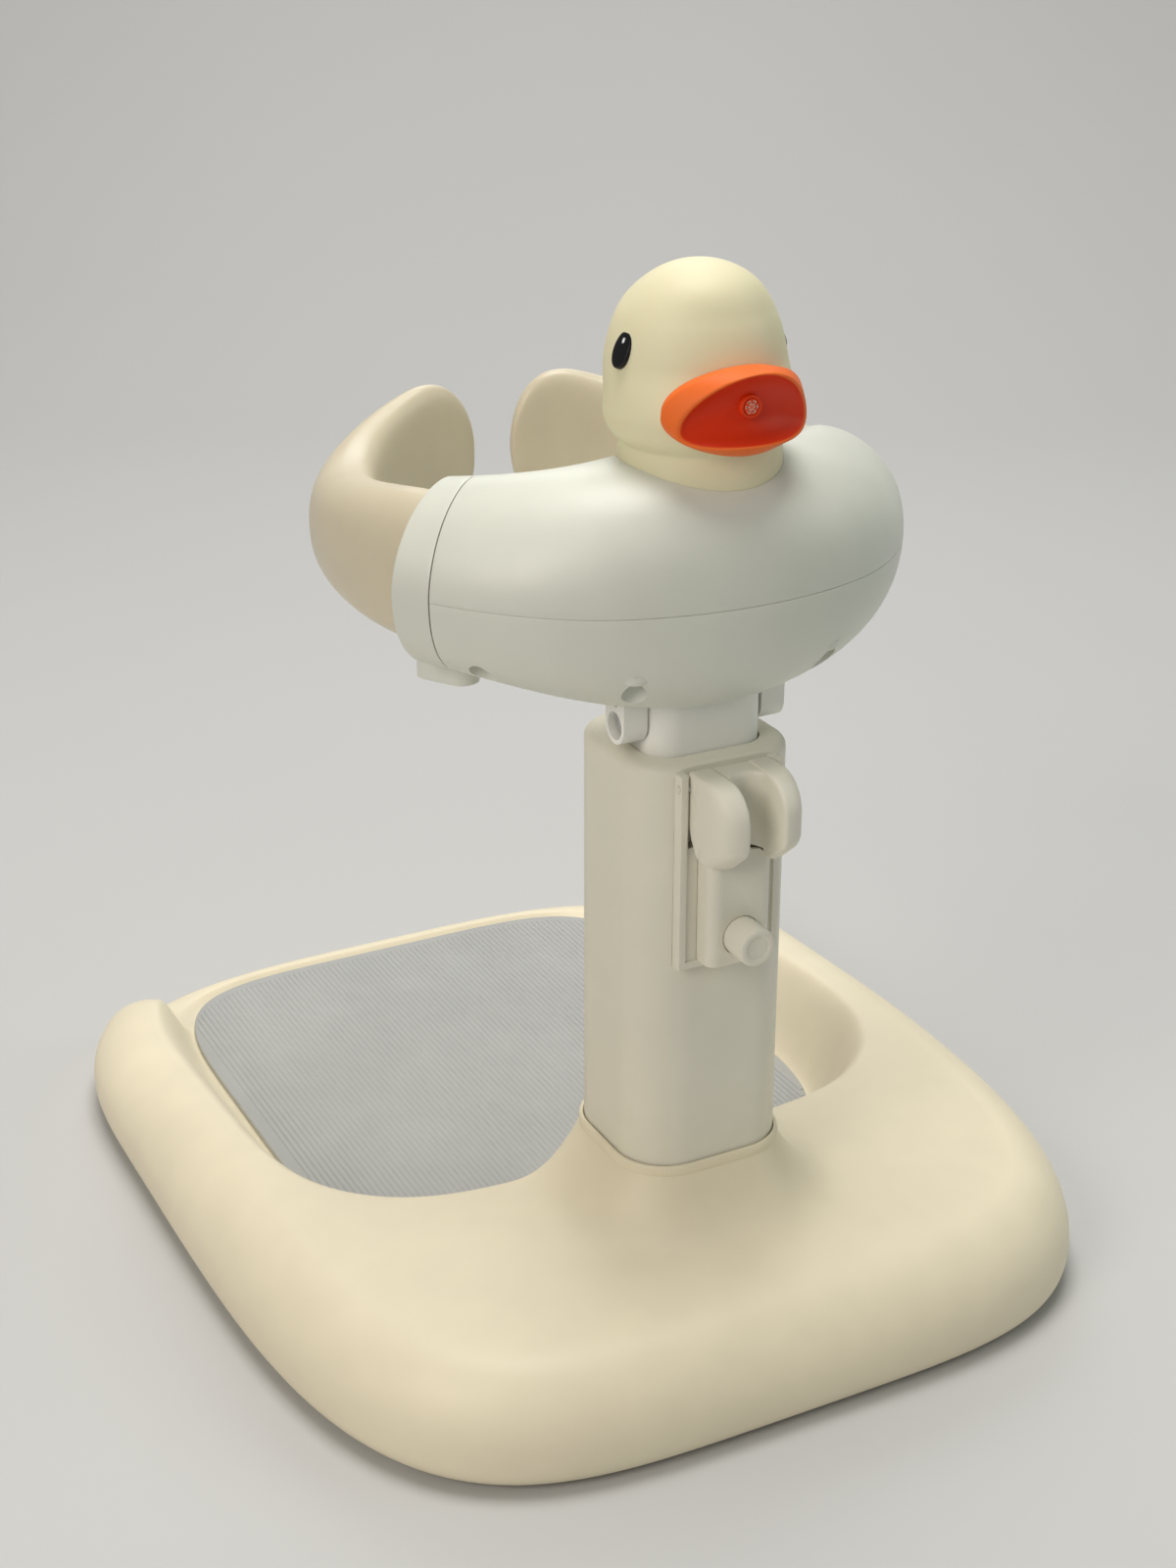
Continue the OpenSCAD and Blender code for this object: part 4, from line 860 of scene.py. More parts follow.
def head_ring(v, w=0.0):
    """Ring of the head at share v of its height, w inside its skin"""
    return neck_points(head_profile(v) - w, NECK_Z + (HEAD.head_height - w) * v, head_lean(v))


def head_skin():
    """The soft head on its neck, with a dent behind the beak"""
    rings = [neck_points(HEAD.neck_radius, NECK_Z - 18 + 2 * k) for k in range(9)]
    shares = np.r_[np.linspace(0, 0.3, 40)[:-1], 1 - 0.7 * (1 - np.linspace(0, 1, 80)) ** 2]
    rings += [head_ring(v) for v in shares[:-1]]
    dent = loft("dent", [beak_ring(0, BEAK_ROOT + 0.01, y, 0) for y in (HEAD.head_radius - 24, -20)])
    return combine(outwards(loft("head_skin", rings[::-1], sharp=60)), [outwards(dent)], "DIFFERENCE", 60)


# How far the beak's corners bend back, its root's share of the outline, the share above the corners,
# and how much narrower the rim is than the root
BEAK_BEND = 14.0
BEAK_ROOT = 0.79
BEAK_UP = 0.545
BEAK_IN = 2.6


def beak_middle():
    """Place of the beak's outline at its middle: y and z"""
    return HEAD_Y - HEAD.head_radius, NECK_Z + 27.7


def beak_sizes(k, a):
    """Half width, and height above or below the corners, at share k of the way out to the rim"""
    part = np.where(np.sin(a) > 0, BEAK_UP, 1 - BEAK_UP)
    return HEAD.beak_width / 2 - BEAK_IN * k, HEAD.beak_height * part - 2.9 * k


def beak_points(k, s):
    """Across, bend and height of the beak's ring at share s of its outline"""
    a = turns(112)
    half, high = beak_sizes(k, a)
    x = half * s * np.cos(a)
    q = (x / half) ** 2
    return x, q, beak_middle()[1] + 1.8 * k + high * s * np.sin(a) - q * mix(0.7, 7, k)


def beak_ring(k, s, dy, bent=1.0):
    """Lens-shaped ring of the beak"""
    x, q, z = beak_points(k, s)
    return np.c_[x, beak_middle()[0] + dy + q * BEAK_BEND * bent + COLUMN_Y, z]


def seat_ring(s):
    """Ring on the back of the beak, just in front of the head"""
    x, q, z = beak_points(0, s)
    v = np.clip((z - NECK_Z) / HEAD.head_height, 0, 1)
    front = HEAD_Y + head_lean(v) - np.sqrt(np.maximum(0, head_profile(v) ** 2 - x * x))
    return np.c_[x, front - 0.4 + COLUMN_Y, z]


def spline(knots, count):
    """Smooth rows through a few (way out, share, place) knots"""
    knots = np.array(knots, float)
    d = np.r_[0, np.cumsum(np.linalg.norm(np.diff(knots * (3, 30, 1), axis=0), axis=1))]
    out = []
    for t in np.linspace(0, d[-1], count):
        i = min(np.searchsorted(d, t, side="right") - 1, len(d) - 2)
        p0, p1, p2, p3 = (knots[j] for j in (max(i - 1, 0), i, i + 1, min(i + 2, len(d) - 1)))
        u = (t - d[i]) / (d[i + 1] - d[i])
        out.append(0.5 * (2 * p1 + (p2 - p0) * u + (2 * p0 - 5 * p1 + 4 * p2 - p3) * u * u
                          + (3 * p1 - p0 - 3 * p2 + p3) * u ** 3))
    return out


def beak_shell():
    """Beak: its root in the head, its lips and its hollow face"""
    knots = [(0, 1, 0.2), (0.35, 1, -2.6), (0.7, 1, -5), (0.92, 1, -6.4), (1, 0.985, -6.7), (1, 0.94, -6),
             (1, 0.86, -4), (1, 0.7, -1.3), (1, 0.5, 0.8), (1, 0.3, 1.8), (1, 0.14, 2)]
    rings = [beak_ring(0, BEAK_ROOT, 18.3, 0)]
    rings += [seat_ring(s) for s in (BEAK_ROOT, 0.84, 0.9, 0.96)]
    rings += [beak_ring(*row) for row in spline(knots, 60)]
    rings.append(beak_ring(1, 0.02, 2.0))
    return outwards(loft("beak_shell", rings[::-1], sharp=60))


# Latch ----------------------------------------------------------------------

# The lever's pin: in front of the column's axis, below its top, and where its plugs sit
PIN_Y = -37.7
PIN_DROP = 8.0
PLUG_X = 23.5
PLUG_R = 2.2
BUTTON_R = 8.5


def lever_outline(front, low, toe, radii, d, steps=12):
    """Side outline of the lever: front curve, roof, back round the pin, and toe"""
    back, top, pin_z = -41.0, COL_TOP - 1 - d, COL_TOP - PIN_DROP
    front_r, heel_r, toe_r = radii

    def arc(cy, cz, r, a0, a1):
        bends = [radians(mix(a0, a1, i / steps)) for i in range(steps + 1)]
        return [(cy + r * cos(a), cz + r * sin(a)) for a in bends]

    rear = [(PIN_Y - 0.5, top), (PIN_Y + 0.1, top - 0.25), (PIN_Y + 0.5, top - 0.9),
            (PIN_Y + 2.9, pin_z + 0.6), (PIN_Y + 2.9, pin_z - 3), (back, low + 6.5 * toe + d)]
    return (arc(front + front_r, top - front_r, front_r, 180, 90) + rear
            + arc(front + 8 * toe + heel_r, low + d + heel_r, heel_r, 300, 250)
            + arc(front + toe_r, low + 5 * toe + d + toe_r, toe_r, 230, 180))


def lever_body(name):
    """Lever with two horns, a roof across them and a rounded finger notch"""
    half, notch = LATCH.lever_width / 2, LATCH.notch_width / 2
    front, cheek, end = -40.5 - LATCH.lever_reach, 9.0, -47.5
    low, web_low, horn = COL_TOP - 38, COL_TOP - 35, half - notch
    edges = [(0, 1.8), (0.2, 1.1), (0.6, 0.5), (1.2, 0.12), (2, 0), (3.2, 0), (4.6, 0), (6.4, 0), (9, 0),
             (horn - 1.5, 0), (horn - 0.8, 0.2), (horn - 0.25, 0.7), (horn, 1.3)]
    rows = []
    for x, edge in edges:
        bend = cheek - sqrt(cheek ** 2 - max(0, cheek - x) ** 2)
        inner = edge if x > 5 else 0
        rows.append((half - x, lever_outline(front + bend + inner, low, 1.0, (15, 5, 9), edge)))
    for k in range(9):
        x = (notch - 0.02) * cos(radians(90 * k / 8))
        face = end - notch + sqrt(notch ** 2 - x ** 2)
        rows.append((x, lever_outline(face, web_low, 0.1, (2.5, 1, 1), 0.3)))
    rows += [(-x, outline) for x, outline in rows[-2::-1]]
    rings = [[(x, y + COLUMN_Y, z) for y, z in outline] for x, outline in rows]
    return outwards(loft(name, rings, sharp=42))


def button_body(name):
    """Round button with a shallow ring in its face and a bore for its spring"""
    low, high = (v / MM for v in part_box("lock_button"))
    place = Matrix.Translation((0, low.y, (low.z + high.z) / 2)) @ Matrix.Rotation(radians(-90), 4, "X")
    r = BUTTON_R
    profile = [(0.01, 0.7), (r - 3.8, 0.65), (r - 3.4, 0.5), (r - 3.0, 0.12), (r - 2.6, 0), (r - 1.4, 0),
               (r - 0.7, 0.2), (r - 0.25, 0.7), (r, 1.4), (r, 16.7), (r + 1, 16.7), (r + 1, 18.5),
               (4.4, 18.5), (4.4, 14), (0.01, 14)]
    return turned(name, profile, place)


# Materials -----------------------------------------------------------------


def feed(tree, socket, value):
    """Sets an input to a number or a colour, or joins it to an output"""
    if isinstance(value, (int, float, tuple)):
        socket.default_value = value
    else:
        tree.links.new(value, socket)


def group_tree(name, inputs, outputs):
    """Empty shader group: inputs with their defaults, and outputs"""
    tree = bpy.data.node_groups.new(name, "ShaderNodeTree")

    def socket(label, way):
        kind = "NodeSocketColor" if label == "Colour" else "NodeSocketFloat"
        return tree.interface.new_socket(label, in_out=way, socket_type=kind)

    for label, value in inputs.items():
        socket(label, "INPUT").default_value = value
    for label in outputs:
        socket(label, "OUTPUT")
    return tree, add(tree, "NodeGroupInput").outputs


def add(tree, kind, values=None, **settings):
    """A new node with its settings, and its inputs by number or name"""
    node = tree.nodes.new(kind)
    for key, value in settings.items():
        setattr(node, key, value)
    for key, value in (values or {}).items():
        feed(tree, node.inputs[key], value)
    return node


def object_place(tree):
    """Place in the part's own frame"""
    return add(tree, "ShaderNodeTexCoord").outputs["Object"]


def noise(tree, coords, scale, detail=2.0, rough=0.5):
    """Cloudy pattern from 0 to 1, in waves to the metre"""
    values = {"Vector": coords, "Scale": scale, "Detail": detail, "Roughness": rough}
    return add(tree, "ShaderNodeTexNoise", values).outputs["Fac"]


def maths(tree, operation, *values, clamp=False):
    """Result of one sum on numbers or outputs"""
    node = add(tree, "ShaderNodeMath", dict(enumerate(values)), operation=operation, use_clamp=clamp)
    return node.outputs[0]


def sums(tree):
    """Product, sum and difference of two values, for one tree"""
    return (partial(maths, tree, operation) for operation in ("MULTIPLY", "ADD", "SUBTRACT"))


def remap(tree, value, low, high, to_low=0.0, to_high=1.0):
    """Value stretched from one range to another, and kept inside it"""
    limits = {0: value, 1: low, 2: high, 3: to_low, 4: to_high}
    return add(tree, "ShaderNodeMapRange", limits, clamp=True).outputs[0]


def mix_colour(tree, share, a, b):
    """Colour a turned to b by a share"""
    return add(tree, "ShaderNodeMix", {0: share, 6: a, 7: b}, data_type="RGBA").outputs[2]


def moulded_skin_group(name):
    """Fine spark-eroded grain, faint flow marks and uneven gloss of a moulding"""
    tree, take = group_tree(name, {
        "Colour": (0.8, 0.8, 0.8, 1), "Grain": 1800.0, "Grain Depth": 0.5, "Mottle": 0.04, "Roughness": 0.45,
        "Uneven Gloss": 0.08}, ("Colour", "Roughness", "Height"))
    times, plus, _ = sums(tree)
    place = object_place(tree)
    cloud, patch = noise(tree, place, 14.0, 3.0), noise(tree, place, 55.0)
    flow = plus(times(cloud, 0.7), times(patch, 0.3))
    change = times(remap(tree, flow, 0.3, 0.7, -1.0, 1.0), take["Mottle"])
    tone = add(tree, "ShaderNodeHueSaturation", {"Color": take["Colour"], "Value": plus(change, 1.0)})
    gloss = times(remap(tree, patch, 0.3, 0.7, -1.0, 1.0), take["Uneven Gloss"])
    grain = noise(tree, place, take["Grain"], 2.0, 0.6)
    add(tree, "NodeGroupOutput", {
        "Colour": tone.outputs[0], "Roughness": plus(gloss, take["Roughness"]),
        "Height": times(grain, take["Grain Depth"])})
    return tree


def handling_group(name):
    """Dust in the low places and rubbed, polished edges"""
    tree, take = group_tree(name, {
        "Colour": (0.8, 0.8, 0.8, 1), "Roughness": 0.45, "Dust": 0.25, "Scuff": 0.3}, ("Colour", "Roughness"))
    times, plus, minus = sums(tree)
    bend, place = add(tree, "ShaderNodeNewGeometry").outputs["Pointiness"], object_place(tree)

    def patches(low, high, scale, amount):
        spots = times(remap(tree, bend, low, high), noise(tree, place, scale, 3.0))
        return times(spots, amount, clamp=True)

    dust, worn = patches(0.5, 0.44, 160.0, take["Dust"]), patches(0.52, 0.6, 90.0, take["Scuff"])
    dirty = mix_colour(tree, dust, take["Colour"], (0.22, 0.19, 0.15, 1))
    rough = plus(take["Roughness"], times(dust, 0.4))
    add(tree, "NodeGroupOutput", {
        "Colour": mix_colour(tree, worn, dirty, (0.9, 0.88, 0.84, 1)),
        "Roughness": minus(rough, times(worn, 0.12))})
    return tree


# Colour (its own, or the setting that holds it), roughness, grains to the metre, their depth, the bump's
# height in metres, mottle, uneven gloss, dust, scuff, and what else the shader gets.
FINISHES = {
    "cream_moulding": (("aid_base", "moulding"), 0.5, 1500.0, 0.5, 0.00008, 0.035, 0.05, 0.3, 0.12,
                       {"Specular IOR Level": 0.45}),
    "column_moulding": (("aid_latch", "column"), 0.48, 1300.0, 0.6, 0.00009, 0.03, 0.05, 0.35, 0.18, {}),
    "body_moulding": (("aid_body", "shell"), 0.42, 1700.0, 0.4, 0.00005, 0.03, 0.06, 0.25, 0.2,
                      {"Coat Weight": 0.08, "Coat Roughness": 0.35}),
    # The mast's moulding is painted lighter than the body's. This stands in for bounce light in the body's
    # shadow.
    "mast_lightened_moulding": (("aid_latch", "mast"), 0.4, 1700.0, 0.4, 0.00005, 0.03, 0.06, 0.2, 0.1, {}),
    "arm_skin": (("aid_arms", "skin"), 0.38, 900.0, 0.4, 0.00006, 0.05, 0.08, 0.3, 0.1,
                 {"Subsurface Weight": 0.06, "Subsurface Scale": 0.004, "Coat Weight": 0.1,
                  "Coat Roughness": 0.3}),
    "head_vinyl": (("aid_head", "skin"), 0.55, 1400.0, 0.4, 0.00005, 0.03, 0.05, 0.15, 0.05,
                   {"Subsurface Weight": 0.12, "Subsurface Scale": 0.006}),
    "beak_vinyl": (("aid_head", "beak"), 0.5, 1400.0, 0.4, 0.00005, 0.04, 0.06, 0.0, 0.0,
                   {"Subsurface Weight": 0.08, "Subsurface Scale": 0.003, "Specular IOR Level": 0.3}),
    "eye_gloss": ((0.008, 0.008, 0.01, 1), 0.32, 1500.0, 0.1, 0.00001, 0.02, 0.02, 0.0, 0.0,
                  {"Specular IOR Level": 0.3}),
    "ribbed_rubber": (("aid_base", "mat"), 0.6, 1600.0, 0.6, 0.0001, 0.05, 0.06, 0.0, 0.0, {}),
    "sole_rubber": ((0.02, 0.02, 0.021, 1), 0.7, 1100.0, 0.8, 0.00012, 0.1, 0.06, 0.25, 0.25, {}),
    "grey_moulding": ((0.27, 0.27, 0.265, 1), 0.5, 1500.0, 0.5, 0.00008, 0.04, 0.06, 0.25, 0.25, {}),
    "cast_alloy": ((0.45, 0.46, 0.47, 1), 0.5, 700.0, 0.8, 0.0002, 0.08, 0.06, 0.25, 0.25, {"Metallic": 0.9}),
}

# Colours painted over a finish by a piece's marks: the hollow face of the beak and the pale dots of its
# vent, and the glint in an eye.
PAINTED = {
    "beak_vinyl": (("mouth", ("aid_head", "mouth")), ("dots", (0.85, 0.62, 0.50, 1))),
    "eye_gloss": (("glint", (0.85, 0.86, 0.86, 1)),),
}


def colour_of(value):
    """A colour, looked up where a setting holds it"""
    return tint(*value) if isinstance(value[0], str) else value


def new_material(name):
    """A material with its tree and its Principled shader"""
    material = bpy.data.materials.new(name)
    material.use_nodes = True
    return material, material.node_tree, material.node_tree.nodes["Principled BSDF"]


def plastic(name):
    """Moulded plastic or rubber: skin and handling groups on a Principled shader"""
    paint, roughness, grain, depth, bump, mottle, uneven, dust, scuff, shader = FINISHES[name]
    material, tree, surface = new_material(name)
    paint = colour_of(paint)
    for attribute, other in PAINTED.get(name, ()):
        share = add(tree, "ShaderNodeAttribute", attribute_name=attribute).outputs["Fac"]
        paint = mix_colour(tree, share, paint, colour_of(other))

    def group(label, build, values):
        built = bpy.data.node_groups.get(label) or build(label)
        return add(tree, "ShaderNodeGroup", values, node_tree=built).outputs

    skin = group("Moulded Skin", moulded_skin_group, {
        "Colour": paint, "Grain": grain, "Grain Depth": depth, "Mottle": mottle, "Roughness": roughness,
        "Uneven Gloss": uneven})
    marks = group("Handling Marks", handling_group, {
        "Colour": skin["Colour"], "Roughness": skin["Roughness"], "Dust": dust, "Scuff": scuff})
    relief = add(tree, "ShaderNodeBump", {"Strength": 1.0, "Distance": bump, "Height": skin["Height"]})
    linked = {"Base Color": marks["Colour"], "Roughness": marks["Roughness"],
              "Normal": relief.outputs["Normal"]}
    for key, value in {**linked, **shader}.items():
        feed(tree, surface.inputs[key], value)
    return material


def steel(name):
    """Zinc-plated steel with fine drawn lines"""
    material, tree, surface = new_material(name)
    lines = noise(tree, object_place(tree), 900.0, 4.0, 0.7)
    tone = mix_colour(tree, lines, (0.52, 0.53, 0.55, 1), (0.72, 0.72, 0.73, 1))
    feed(tree, surface.inputs["Base Color"], tone)
    feed(tree, surface.inputs["Roughness"], remap(tree, lines, 0.3, 0.7, 0.26, 0.42))
    surface.inputs["Metallic"].default_value = 1.0
    return material


def finish_of(name):
    """The material of that name, made when it is first asked for"""
    return bpy.data.materials.get(name) or (plastic(name) if name in FINISHES else steel(name))


# Operators -----------------------------------------------------------------


class AID_OT_base(bpy.types.Operator):
    """Make the base moulding with its collar round the column"""
    bl_idname = "aid.base"
    bl_label = "Base"
    bl_options = {"REGISTER", "UNDO"}

    def execute(self, context):
        for piece in (base_moulding(), collar_lip()):
            finish_piece(piece, "base", "cream_moulding", "base_shell")
        dress("grey_moulding", "base_cover")
        dress("sole_rubber", "rubber_feet")
        dress("zinc_steel", "base_screws", "column_screws")
        dress("cast_alloy", "column_foot")
        return {"FINISHED"}


class AID_OT_mat(bpy.types.Operator):
    """Lay the ribbed standing mat"""
    bl_idname = "aid.mat"
    bl_label = "Standing mat"
    bl_options = {"REGISTER", "UNDO"}

    def execute(self, context):
        finish = "ribbed_rubber"
        finish_piece(lay_ribs(mat_sheet(), finish_of(finish)), "base", finish, "standing_mat")
        return {"FINISHED"}


class AID_OT_column(bpy.types.Operator):
    """Dress the column and the mast"""
    bl_idname = "aid.column"
    bl_label = "Column"
    bl_options = {"REGISTER", "UNDO"}

    def execute(self, context):
        tube = softened("column", "column_tube", COLUMN_EDGE, 35, 2)
        mouth = prism("gap", bar_outline(*COLUMN_MOUTH), COL_TOP - 5.5, COL_TOP + 2)
        combine(tube, [outwards(mouth)], "DIFFERENCE", 35)
        finish_piece(tube, "base", "column_moulding", "column_tube")
        # The mast gets the lightened moulding, which stands in for bounce light under the body.
        dress("mast_lightened_moulding", "mast_tube")
        dress("grey_moulding", "mast_shoe", "clamp_shoe")
        return {"FINISHED"}


class AID_OT_latch(bpy.types.Operator):
    """Make the latch: frame, cover, lever and button"""
    bl_idname = "aid.latch"
    bl_label = "Latch"
    bl_options = {"REGISTER", "UNDO"}

    def execute(self, context):
        edge = bpy.context.scene.aid_latch.edge
        strip = softened("latch_strip", "latch_frame", edge)
        plugs = [cylinder("plug", PLUG_R, 0.9, (x, COLUMN_Y + PIN_Y, COL_TOP - PIN_DROP), (1, 0, 0))
                 for x in (-PLUG_X, PLUG_X)]
        for piece, body, node in ((combine(strip, plugs, "UNION", 50), "base", "latch_frame"),
                                  (softened("latch_housing", "latch_cover", edge), "base", "latch_cover"),
                                  (lever_body("lever"), "lever", "release_lever"),
                                  (button_body("button"), "button", "lock_button")):
            finish_piece(piece, body, "column_moulding", node)
        dress("zinc_steel", "lever_pin", "clamp_spring", "button_spring")
        return {"FINISHED"}


class AID_OT_body(bpy.types.Operator):
    """Make the two halves of the duck's body and the cuffs"""
    bl_idname = "aid.body"
    bl_label = "Duck body"
    bl_options = {"REGISTER", "UNDO"}

    def execute(self, context):
        upper, lower = body_shell("body_top", 1), body_shell("body_bottom", -1)
        throat = [neck_points(HEAD.neck_radius + 0.15, SPLIT_Z + 5)]
        throat += [head_ring(v, -0.15) for v in (0, 0.05, 0.1, 0.16)]
        combine(upper, [outwards(loft("hole", throat))], "DIFFERENCE", 50)
        finish_piece(upper, "mast", "body_moulding", "body_upper_shell")
        bosses, cuts = screw_wells()
        combine(lower, bosses, "UNION", 50)
        cuts += [prism("pocket", stadium(s, 0.5), BELOW_BODY, SPLIT_Z - 20) for s in (-1, 1)]
        cuts.append(prism("mast_hole", bar_outline(*SOCKET), BELOW_BODY, SPLIT_Z - 5))
        combine(lower, cuts, "DIFFERENCE", 50)
        finish_piece(lower, "mast", "body_moulding", "body_lower_shell")
        self.sleeve()
        for side, word in SIDES:
            pocket = prism("pocket", stadium(side, 0.3), BELOW_BODY, SPLIT_Z - 33.2)
            piece = combine(cuff("cuff_" + word + "_end", side), [pocket], "DIFFERENCE", 40)
            finish_piece(piece, "mast", "body_moulding", "cuff_" + word)
            tab = softened("release_tab_" + word, "arm_release_" + word, TAB_EDGE)
            finish_piece(tab, "release_" + word, "body_moulding", "arm_release_" + word)
        dress("zinc_steel", "mast_bolts", "body_screws")
        return {"FINISHED"}

    def sleeve(self):
        """Socket that holds the mast's head, with a barrel on each side"""
        y, z, r, wide = COLUMN_Y - 9.0, (COL_TOP + SPLIT_Z - BODY.body_down) / 2 + 3.3, 8.0, 11.0
        sleeve = prism("mast_socket", bar_outline(*SOCKET), SPLIT_Z - 50, SPLIT_Z - 14)
        parts, holes = [], [prism("bore", bar_outline(*MAST, MAST_GAP), SPLIT_Z - 70, SPLIT_Z)]
        inside = MAST[0] / 2 + MAST_GAP
        for s in (-1, 1):
            x, face = s * (inside + wide / 2), s * (inside + wide)
            parts.append(cylinder("ear", r, wide, (x, y, z), (1, 0, 0)))
            parts.append(block("root", (x - wide / 2, y - r, z), (x + wide / 2, y + r, z + 12)))
            holes.append(cylinder("bore", 2.55, 40, (x, y, z), (1, 0, 0)))
            holes.append(cylinder("seat", 6.0, wide, (face, y, z), (1, 0, 0)))
            holes.append(cylinder("peg", 1.3, 6, (face, y - 1, z + 9.8), (1, 0, 0)))
        combine(sleeve, parts, "UNION", 40)
        combine(sleeve, holes, "DIFFERENCE", 40)
        # The sleeve shares the mast's lightened moulding, which stands in for bounce light under the body.
        finish_piece(sleeve, "mast", "mast_lightened_moulding", "body_lower_shell")


class AID_OT_arms(bpy.types.Operator):
    """Make the two soft arms"""
    bl_idname = "aid.arms"
    bl_label = "Arms"
    bl_options = {"REGISTER", "UNDO"}

    def execute(self, context):
        for side, word in SIDES:
            finish_piece(arm("arm_" + word + "_skin", side), "arm_" + word, "arm_skin", "arm_shell_" + word)
            dress("grey_moulding", "arm_bar_" + word)
        return {"FINISHED"}


class AID_OT_head(bpy.types.Operator):
    """Make the head, the beak with its vent, and the eyes"""
    bl_idname = "aid.head"
    bl_label = "Head"
    bl_options = {"REGISTER", "UNDO"}

    def execute(self, context):
        finish_piece(head_skin(), "mast", "head_vinyl", "duck_head")
        dress("grey_moulding", "neck_ring")
        beak = beak_shell()
        self.mark_mouth(beak)
        finish_piece(beak, "mast", "beak_vinyl", "beak")
        self.vent()
        self.eyes()
        return {"FINISHED"}

    def mark_mouth(self, beak):
        """Marks the hollow face of the beak, which is darker than its lips"""
        y0, z0 = beak_middle()
        values = []
        for vertex in beak.data.vertices:
            x, y, z = (c / MM for c in vertex.co)
            q = (x / (HEAD.beak_width / 2 - BEAK_IN)) ** 2
            rise = z - z0 - 1.8 + 7 * q
            share = sqrt(q + (rise / beak_sizes(1, np.copysign(1.0, rise))[1]) ** 2)
            front = y - COLUMN_Y - y0 - q * BEAK_BEND < 3
            values.append(float(1 - smooth((share - 0.925) / 0.035)) if front else 0.0)
        mark(beak, "mouth", values)

    def vent(self):
        """Raised disc in the beak's face, with a ring of six small holes"""
        y, z = beak_middle()
        place = Matrix.Translation((0, y + 1.6 + COLUMN_Y, z + 3.3)) @ Matrix.Rotation(radians(90), 4, "X")
        profile = [(0.01, -1.5), (4.6, -1.5), (4.6, 1.3), (4.45, 1.55), (4.2, 1.6), (3.8, 1.5), (3.6, 1.1),
                   (3.2, 1.0), (3.1, 1.35), (2.9, 1.45), (0.01, 1.5)]
        vent = turned("beak_vent_disc", profile, place)
        ring_r, hole_r, dot_r = 1.9, 0.55, 0.7
        spots = [place @ Vector((ring_r * cos(a), ring_r * sin(a), 1.5)) for a in turns(6)]
        holes = [cylinder("hole", hole_r, 1.2, spot, (0, 1, 0), 20) for spot in spots]
        combine(vent, holes, "DIFFERENCE", 50)
        corners = vent.data.vertices
        mark(vent, "mouth", [0.88] * len(corners))
        reach = [min((corner.co / MM - spot).length for spot in spots) for corner in corners]
        mark(vent, "dots", [float(d < dot_r) for d in reach])
        finish_piece(vent, "mast", "beak_vinyl", "beak_vent")

    def eyes(self):
        """Two low domes; the glint is a painted dot near the upper edge"""
        wide, high = HEAD.eye_width / 2, HEAD.eye_height / 2
        share, turn, tilt, sink, sides = 0.6, 7, 66, 1.3, 48
        reach, z = float(head_profile(share)) - sink, NECK_Z + HEAD.head_height * share
        profile = [(1, 0), (1, sink + 0.3), (0.985, sink + 0.55), (0.95, sink + 0.75)]
        profile += [(0.95 * cos(radians(a)), sink + 0.75 + 0.45 * sin(radians(a))) for a in range(10, 90, 8)]
        points, faces, glint = [], [], []
        for s in (-1, 1):
            first = len(points)
            last = first + (len(profile) - 1) * sides
            place = (Matrix.Translation((0, HEAD_Y + COLUMN_Y + float(head_lean(share)), z))
                     @ Matrix.Rotation(radians(-s * turn), 4, "Z") @ Matrix.Translation((s * reach, 0, 0))
                     @ Matrix.Rotation(radians(s * tilt), 4, "Y"))
            for r, lift in profile:
                for a in turns(sides):
                    u, v = r * cos(a), r * sin(a)
                    points.append(place @ Vector((high * u, wide * v, lift)))
                    near = sqrt((-u * s - 0.44) ** 2 + (v + 0.05) ** 2) < 0.13
                    glint.append(float(near and lift > sink + 0.7))
            faces += grid_faces(len(profile), sides, first)
            faces += [tuple(start + j for j in range(sides)) for start in (first, last)]
        piece = make_mesh("eye_domes", points, faces, sharp=60)
        mark(piece, "glint", glint)
        finish_piece(outwards(piece), "mast", "eye_gloss", "eyes")


# The camera looks down and across the object by these angles
VIEW_DOWN = 23.41
VIEW_TURN = -27.38


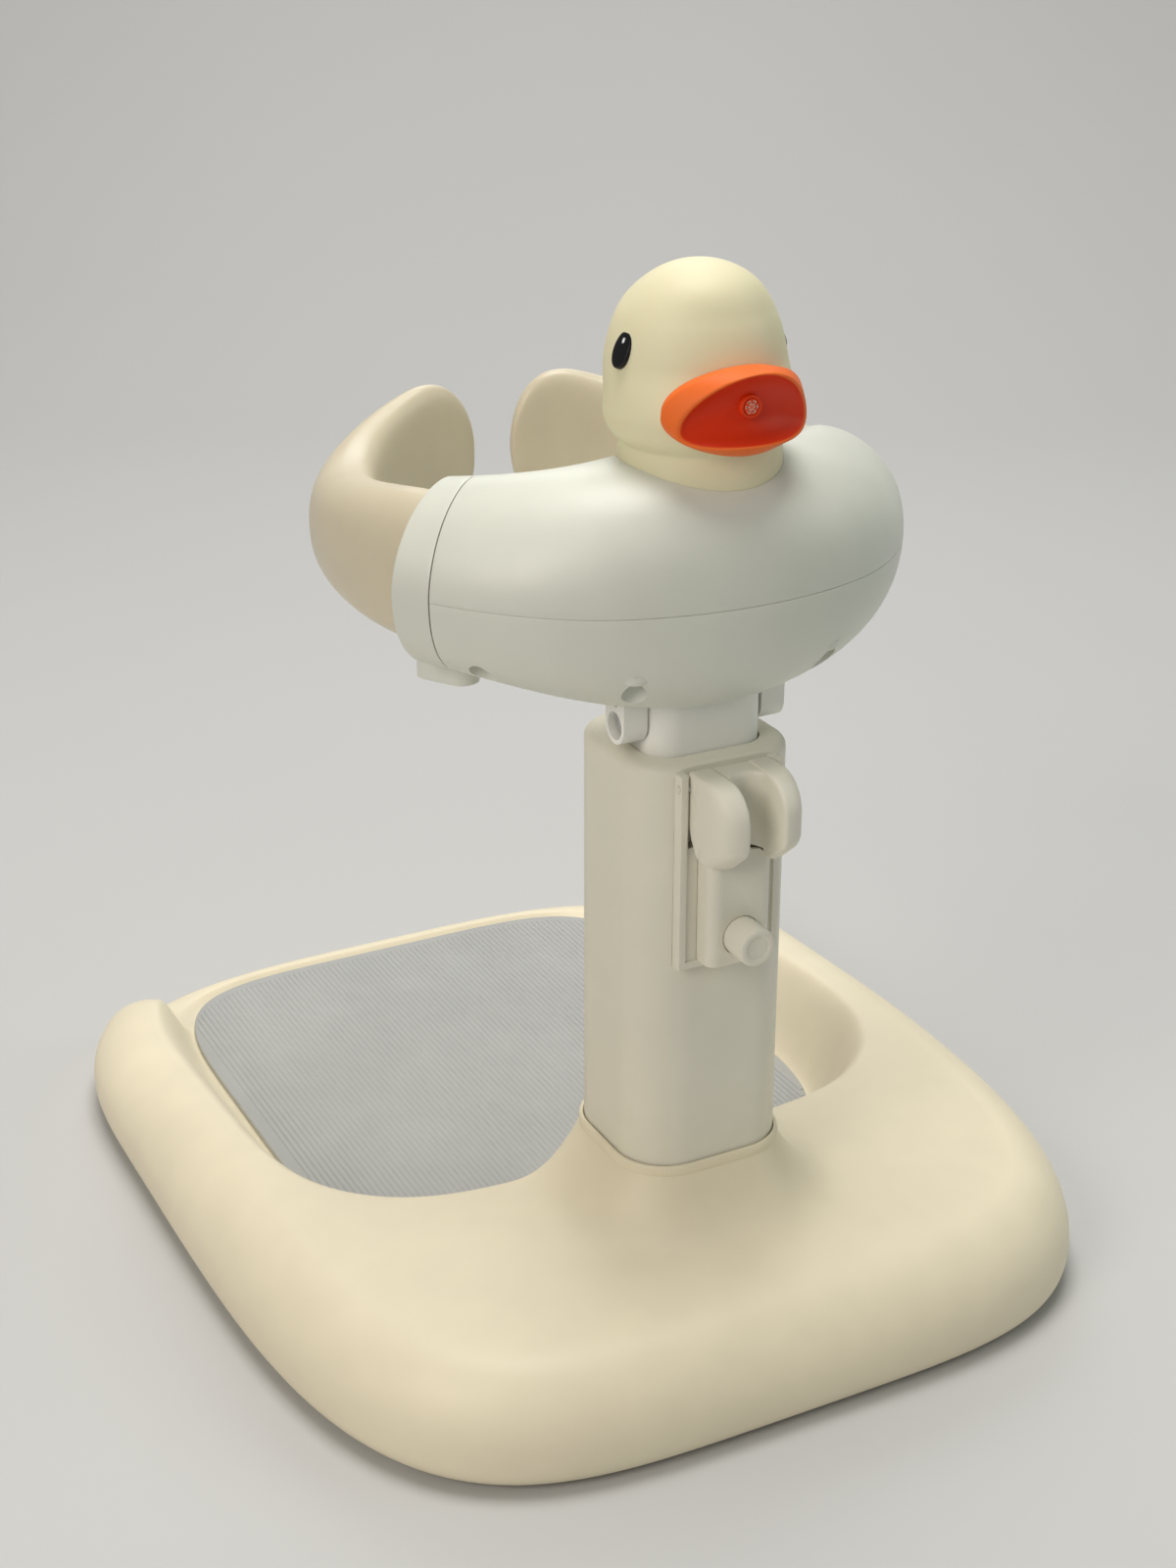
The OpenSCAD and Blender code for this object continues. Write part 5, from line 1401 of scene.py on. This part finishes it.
class AID_OT_stage(bpy.types.Operator):
    """Set up the floor, the backdrop, the lights and the camera"""
    bl_idname = "aid.stage"
    bl_label = "Stage"
    bl_options = {"REGISTER", "UNDO"}

    def execute(self, context):
        scene = bpy.context.scene
        scene.view_settings.view_transform = "Standard"
        self.backdrop()
        self.light("key", (-1.9, -0.95, 1.4), 1.2, scene.aid_stage.key_power, (1.0, 0.935, 0.85))
        self.light("fill", (1.8, -1.1, 1.2), 1.4, scene.aid_stage.fill_power, (0.88, 1.0, 0.94))
        self.light("top", (0.1, 0.2, 2.7), 1.6, scene.aid_stage.top_power, (1.0, 0.98, 0.94))
        self.light("back", (0.9, 1.8, 1.7), 1.2, 10, (0.96, 0.98, 1.0))
        world = bpy.data.worlds.new("studio")
        world.use_nodes = True
        sky = world.node_tree.nodes["Background"].inputs
        sky["Color"].default_value = (1.0, 0.99, 0.975, 1)
        sky["Strength"].default_value = scene.aid_stage.world
        scene.world = world
        camera = bpy.data.cameras.new("camera")
        camera.sensor_width, camera.lens = 36, scene.aid_stage.focal
        camera.clip_start = 0.01
        eye = bpy.data.objects.new("camera", camera)
        eye.location = (-0.4606, -0.9187, 0.6499)
        eye.rotation_euler = (radians(90 - VIEW_DOWN), 0, radians(VIEW_TURN))
        scene.collection.objects.link(eye)
        scene.camera = eye
        return {"FINISHED"}

    def backdrop(self):
        """Floor that curves up into a wall behind the object"""
        rows = [(-3.0, 0.0), (1.4, 0.0)]
        rows += [(1.4 + 0.8 * sin(radians(a)), 0.8 * (1 - cos(radians(a)))) for a in range(6, 91, 6)]
        rows.append((2.2, 4.0))
        points = [(x / MM, y / MM, z / MM) for y, z in rows for x in (-4.0, 4.0)]
        faces = [(2 * i, 2 * i + 1, 2 * i + 3, 2 * i + 2) for i in range(len(rows) - 1)]
        sweep = make_mesh("studio_sweep", points, faces)
        sweep.data.materials.append(self.floor_paint())
        sweep.data.transform(Matrix.Rotation(radians(VIEW_TURN), 4, "Z"))

    def floor_paint(self):
        """Matt paint with faint clouds"""
        material, tree, surface = new_material("studio_paint")
        base = tint("aid_stage", "floor")
        dim = tuple(c * 0.97 for c in base[:3]) + (1,)
        cloud = noise(tree, object_place(tree), 3.0)
        feed(tree, surface.inputs["Base Color"], mix_colour(tree, cloud, base, dim))
        surface.inputs["Roughness"].default_value = 0.85
        return material

    def light(self, name, place, span, power, tone):
        """Round soft light that faces the object"""
        lamp = bpy.data.lights.new(name, "AREA")
        lamp.shape, lamp.size, lamp.energy, lamp.color = "DISK", span, power, tone
        item = bpy.data.objects.new(name, lamp)
        item.location = place
        item.rotation_euler = (Vector((0, 0, 0.25)) - Vector(place)).to_track_quat("-Z", "Y").to_euler()
        bpy.context.scene.collection.objects.link(item)


OPERATORS = [AID_OT_base, AID_OT_mat, AID_OT_column, AID_OT_latch, AID_OT_body, AID_OT_arms, AID_OT_head,
             AID_OT_stage]


class AID_PT_panel(bpy.types.Panel):
    """Settings and steps of the standing aid"""
    bl_label = "Standing Aid"
    bl_idname = "AID_PT_panel"
    bl_space_type = "VIEW_3D"
    bl_region_type = "UI"
    bl_category = "Standing Aid"

    def draw(self, context):
        for name, group in GROUPS.items():
            box = self.layout.box()
            box.label(text=group.__name__.replace("Settings", ""))
            for key in group.__annotations__:
                box.prop(getattr(context.scene, name), key)
        for operator in OPERATORS:
            self.layout.operator(operator.bl_idname)


CLASSES = [*GROUPS.values(), *OPERATORS, AID_PT_panel]


def register():
    for item in CLASSES:
        bpy.utils.register_class(item)
    for name, group in GROUPS.items():
        setattr(bpy.types.Scene, name, PointerProperty(type=group))


def unregister():
    for name in GROUPS:
        delattr(bpy.types.Scene, name)
    for item in reversed(CLASSES):
        bpy.utils.unregister_class(item)


def main():
    register()
    for operator in OPERATORS:
        getattr(bpy.ops.aid, operator.bl_idname.split(".")[1])()


if __name__ == "__main__":
    main()
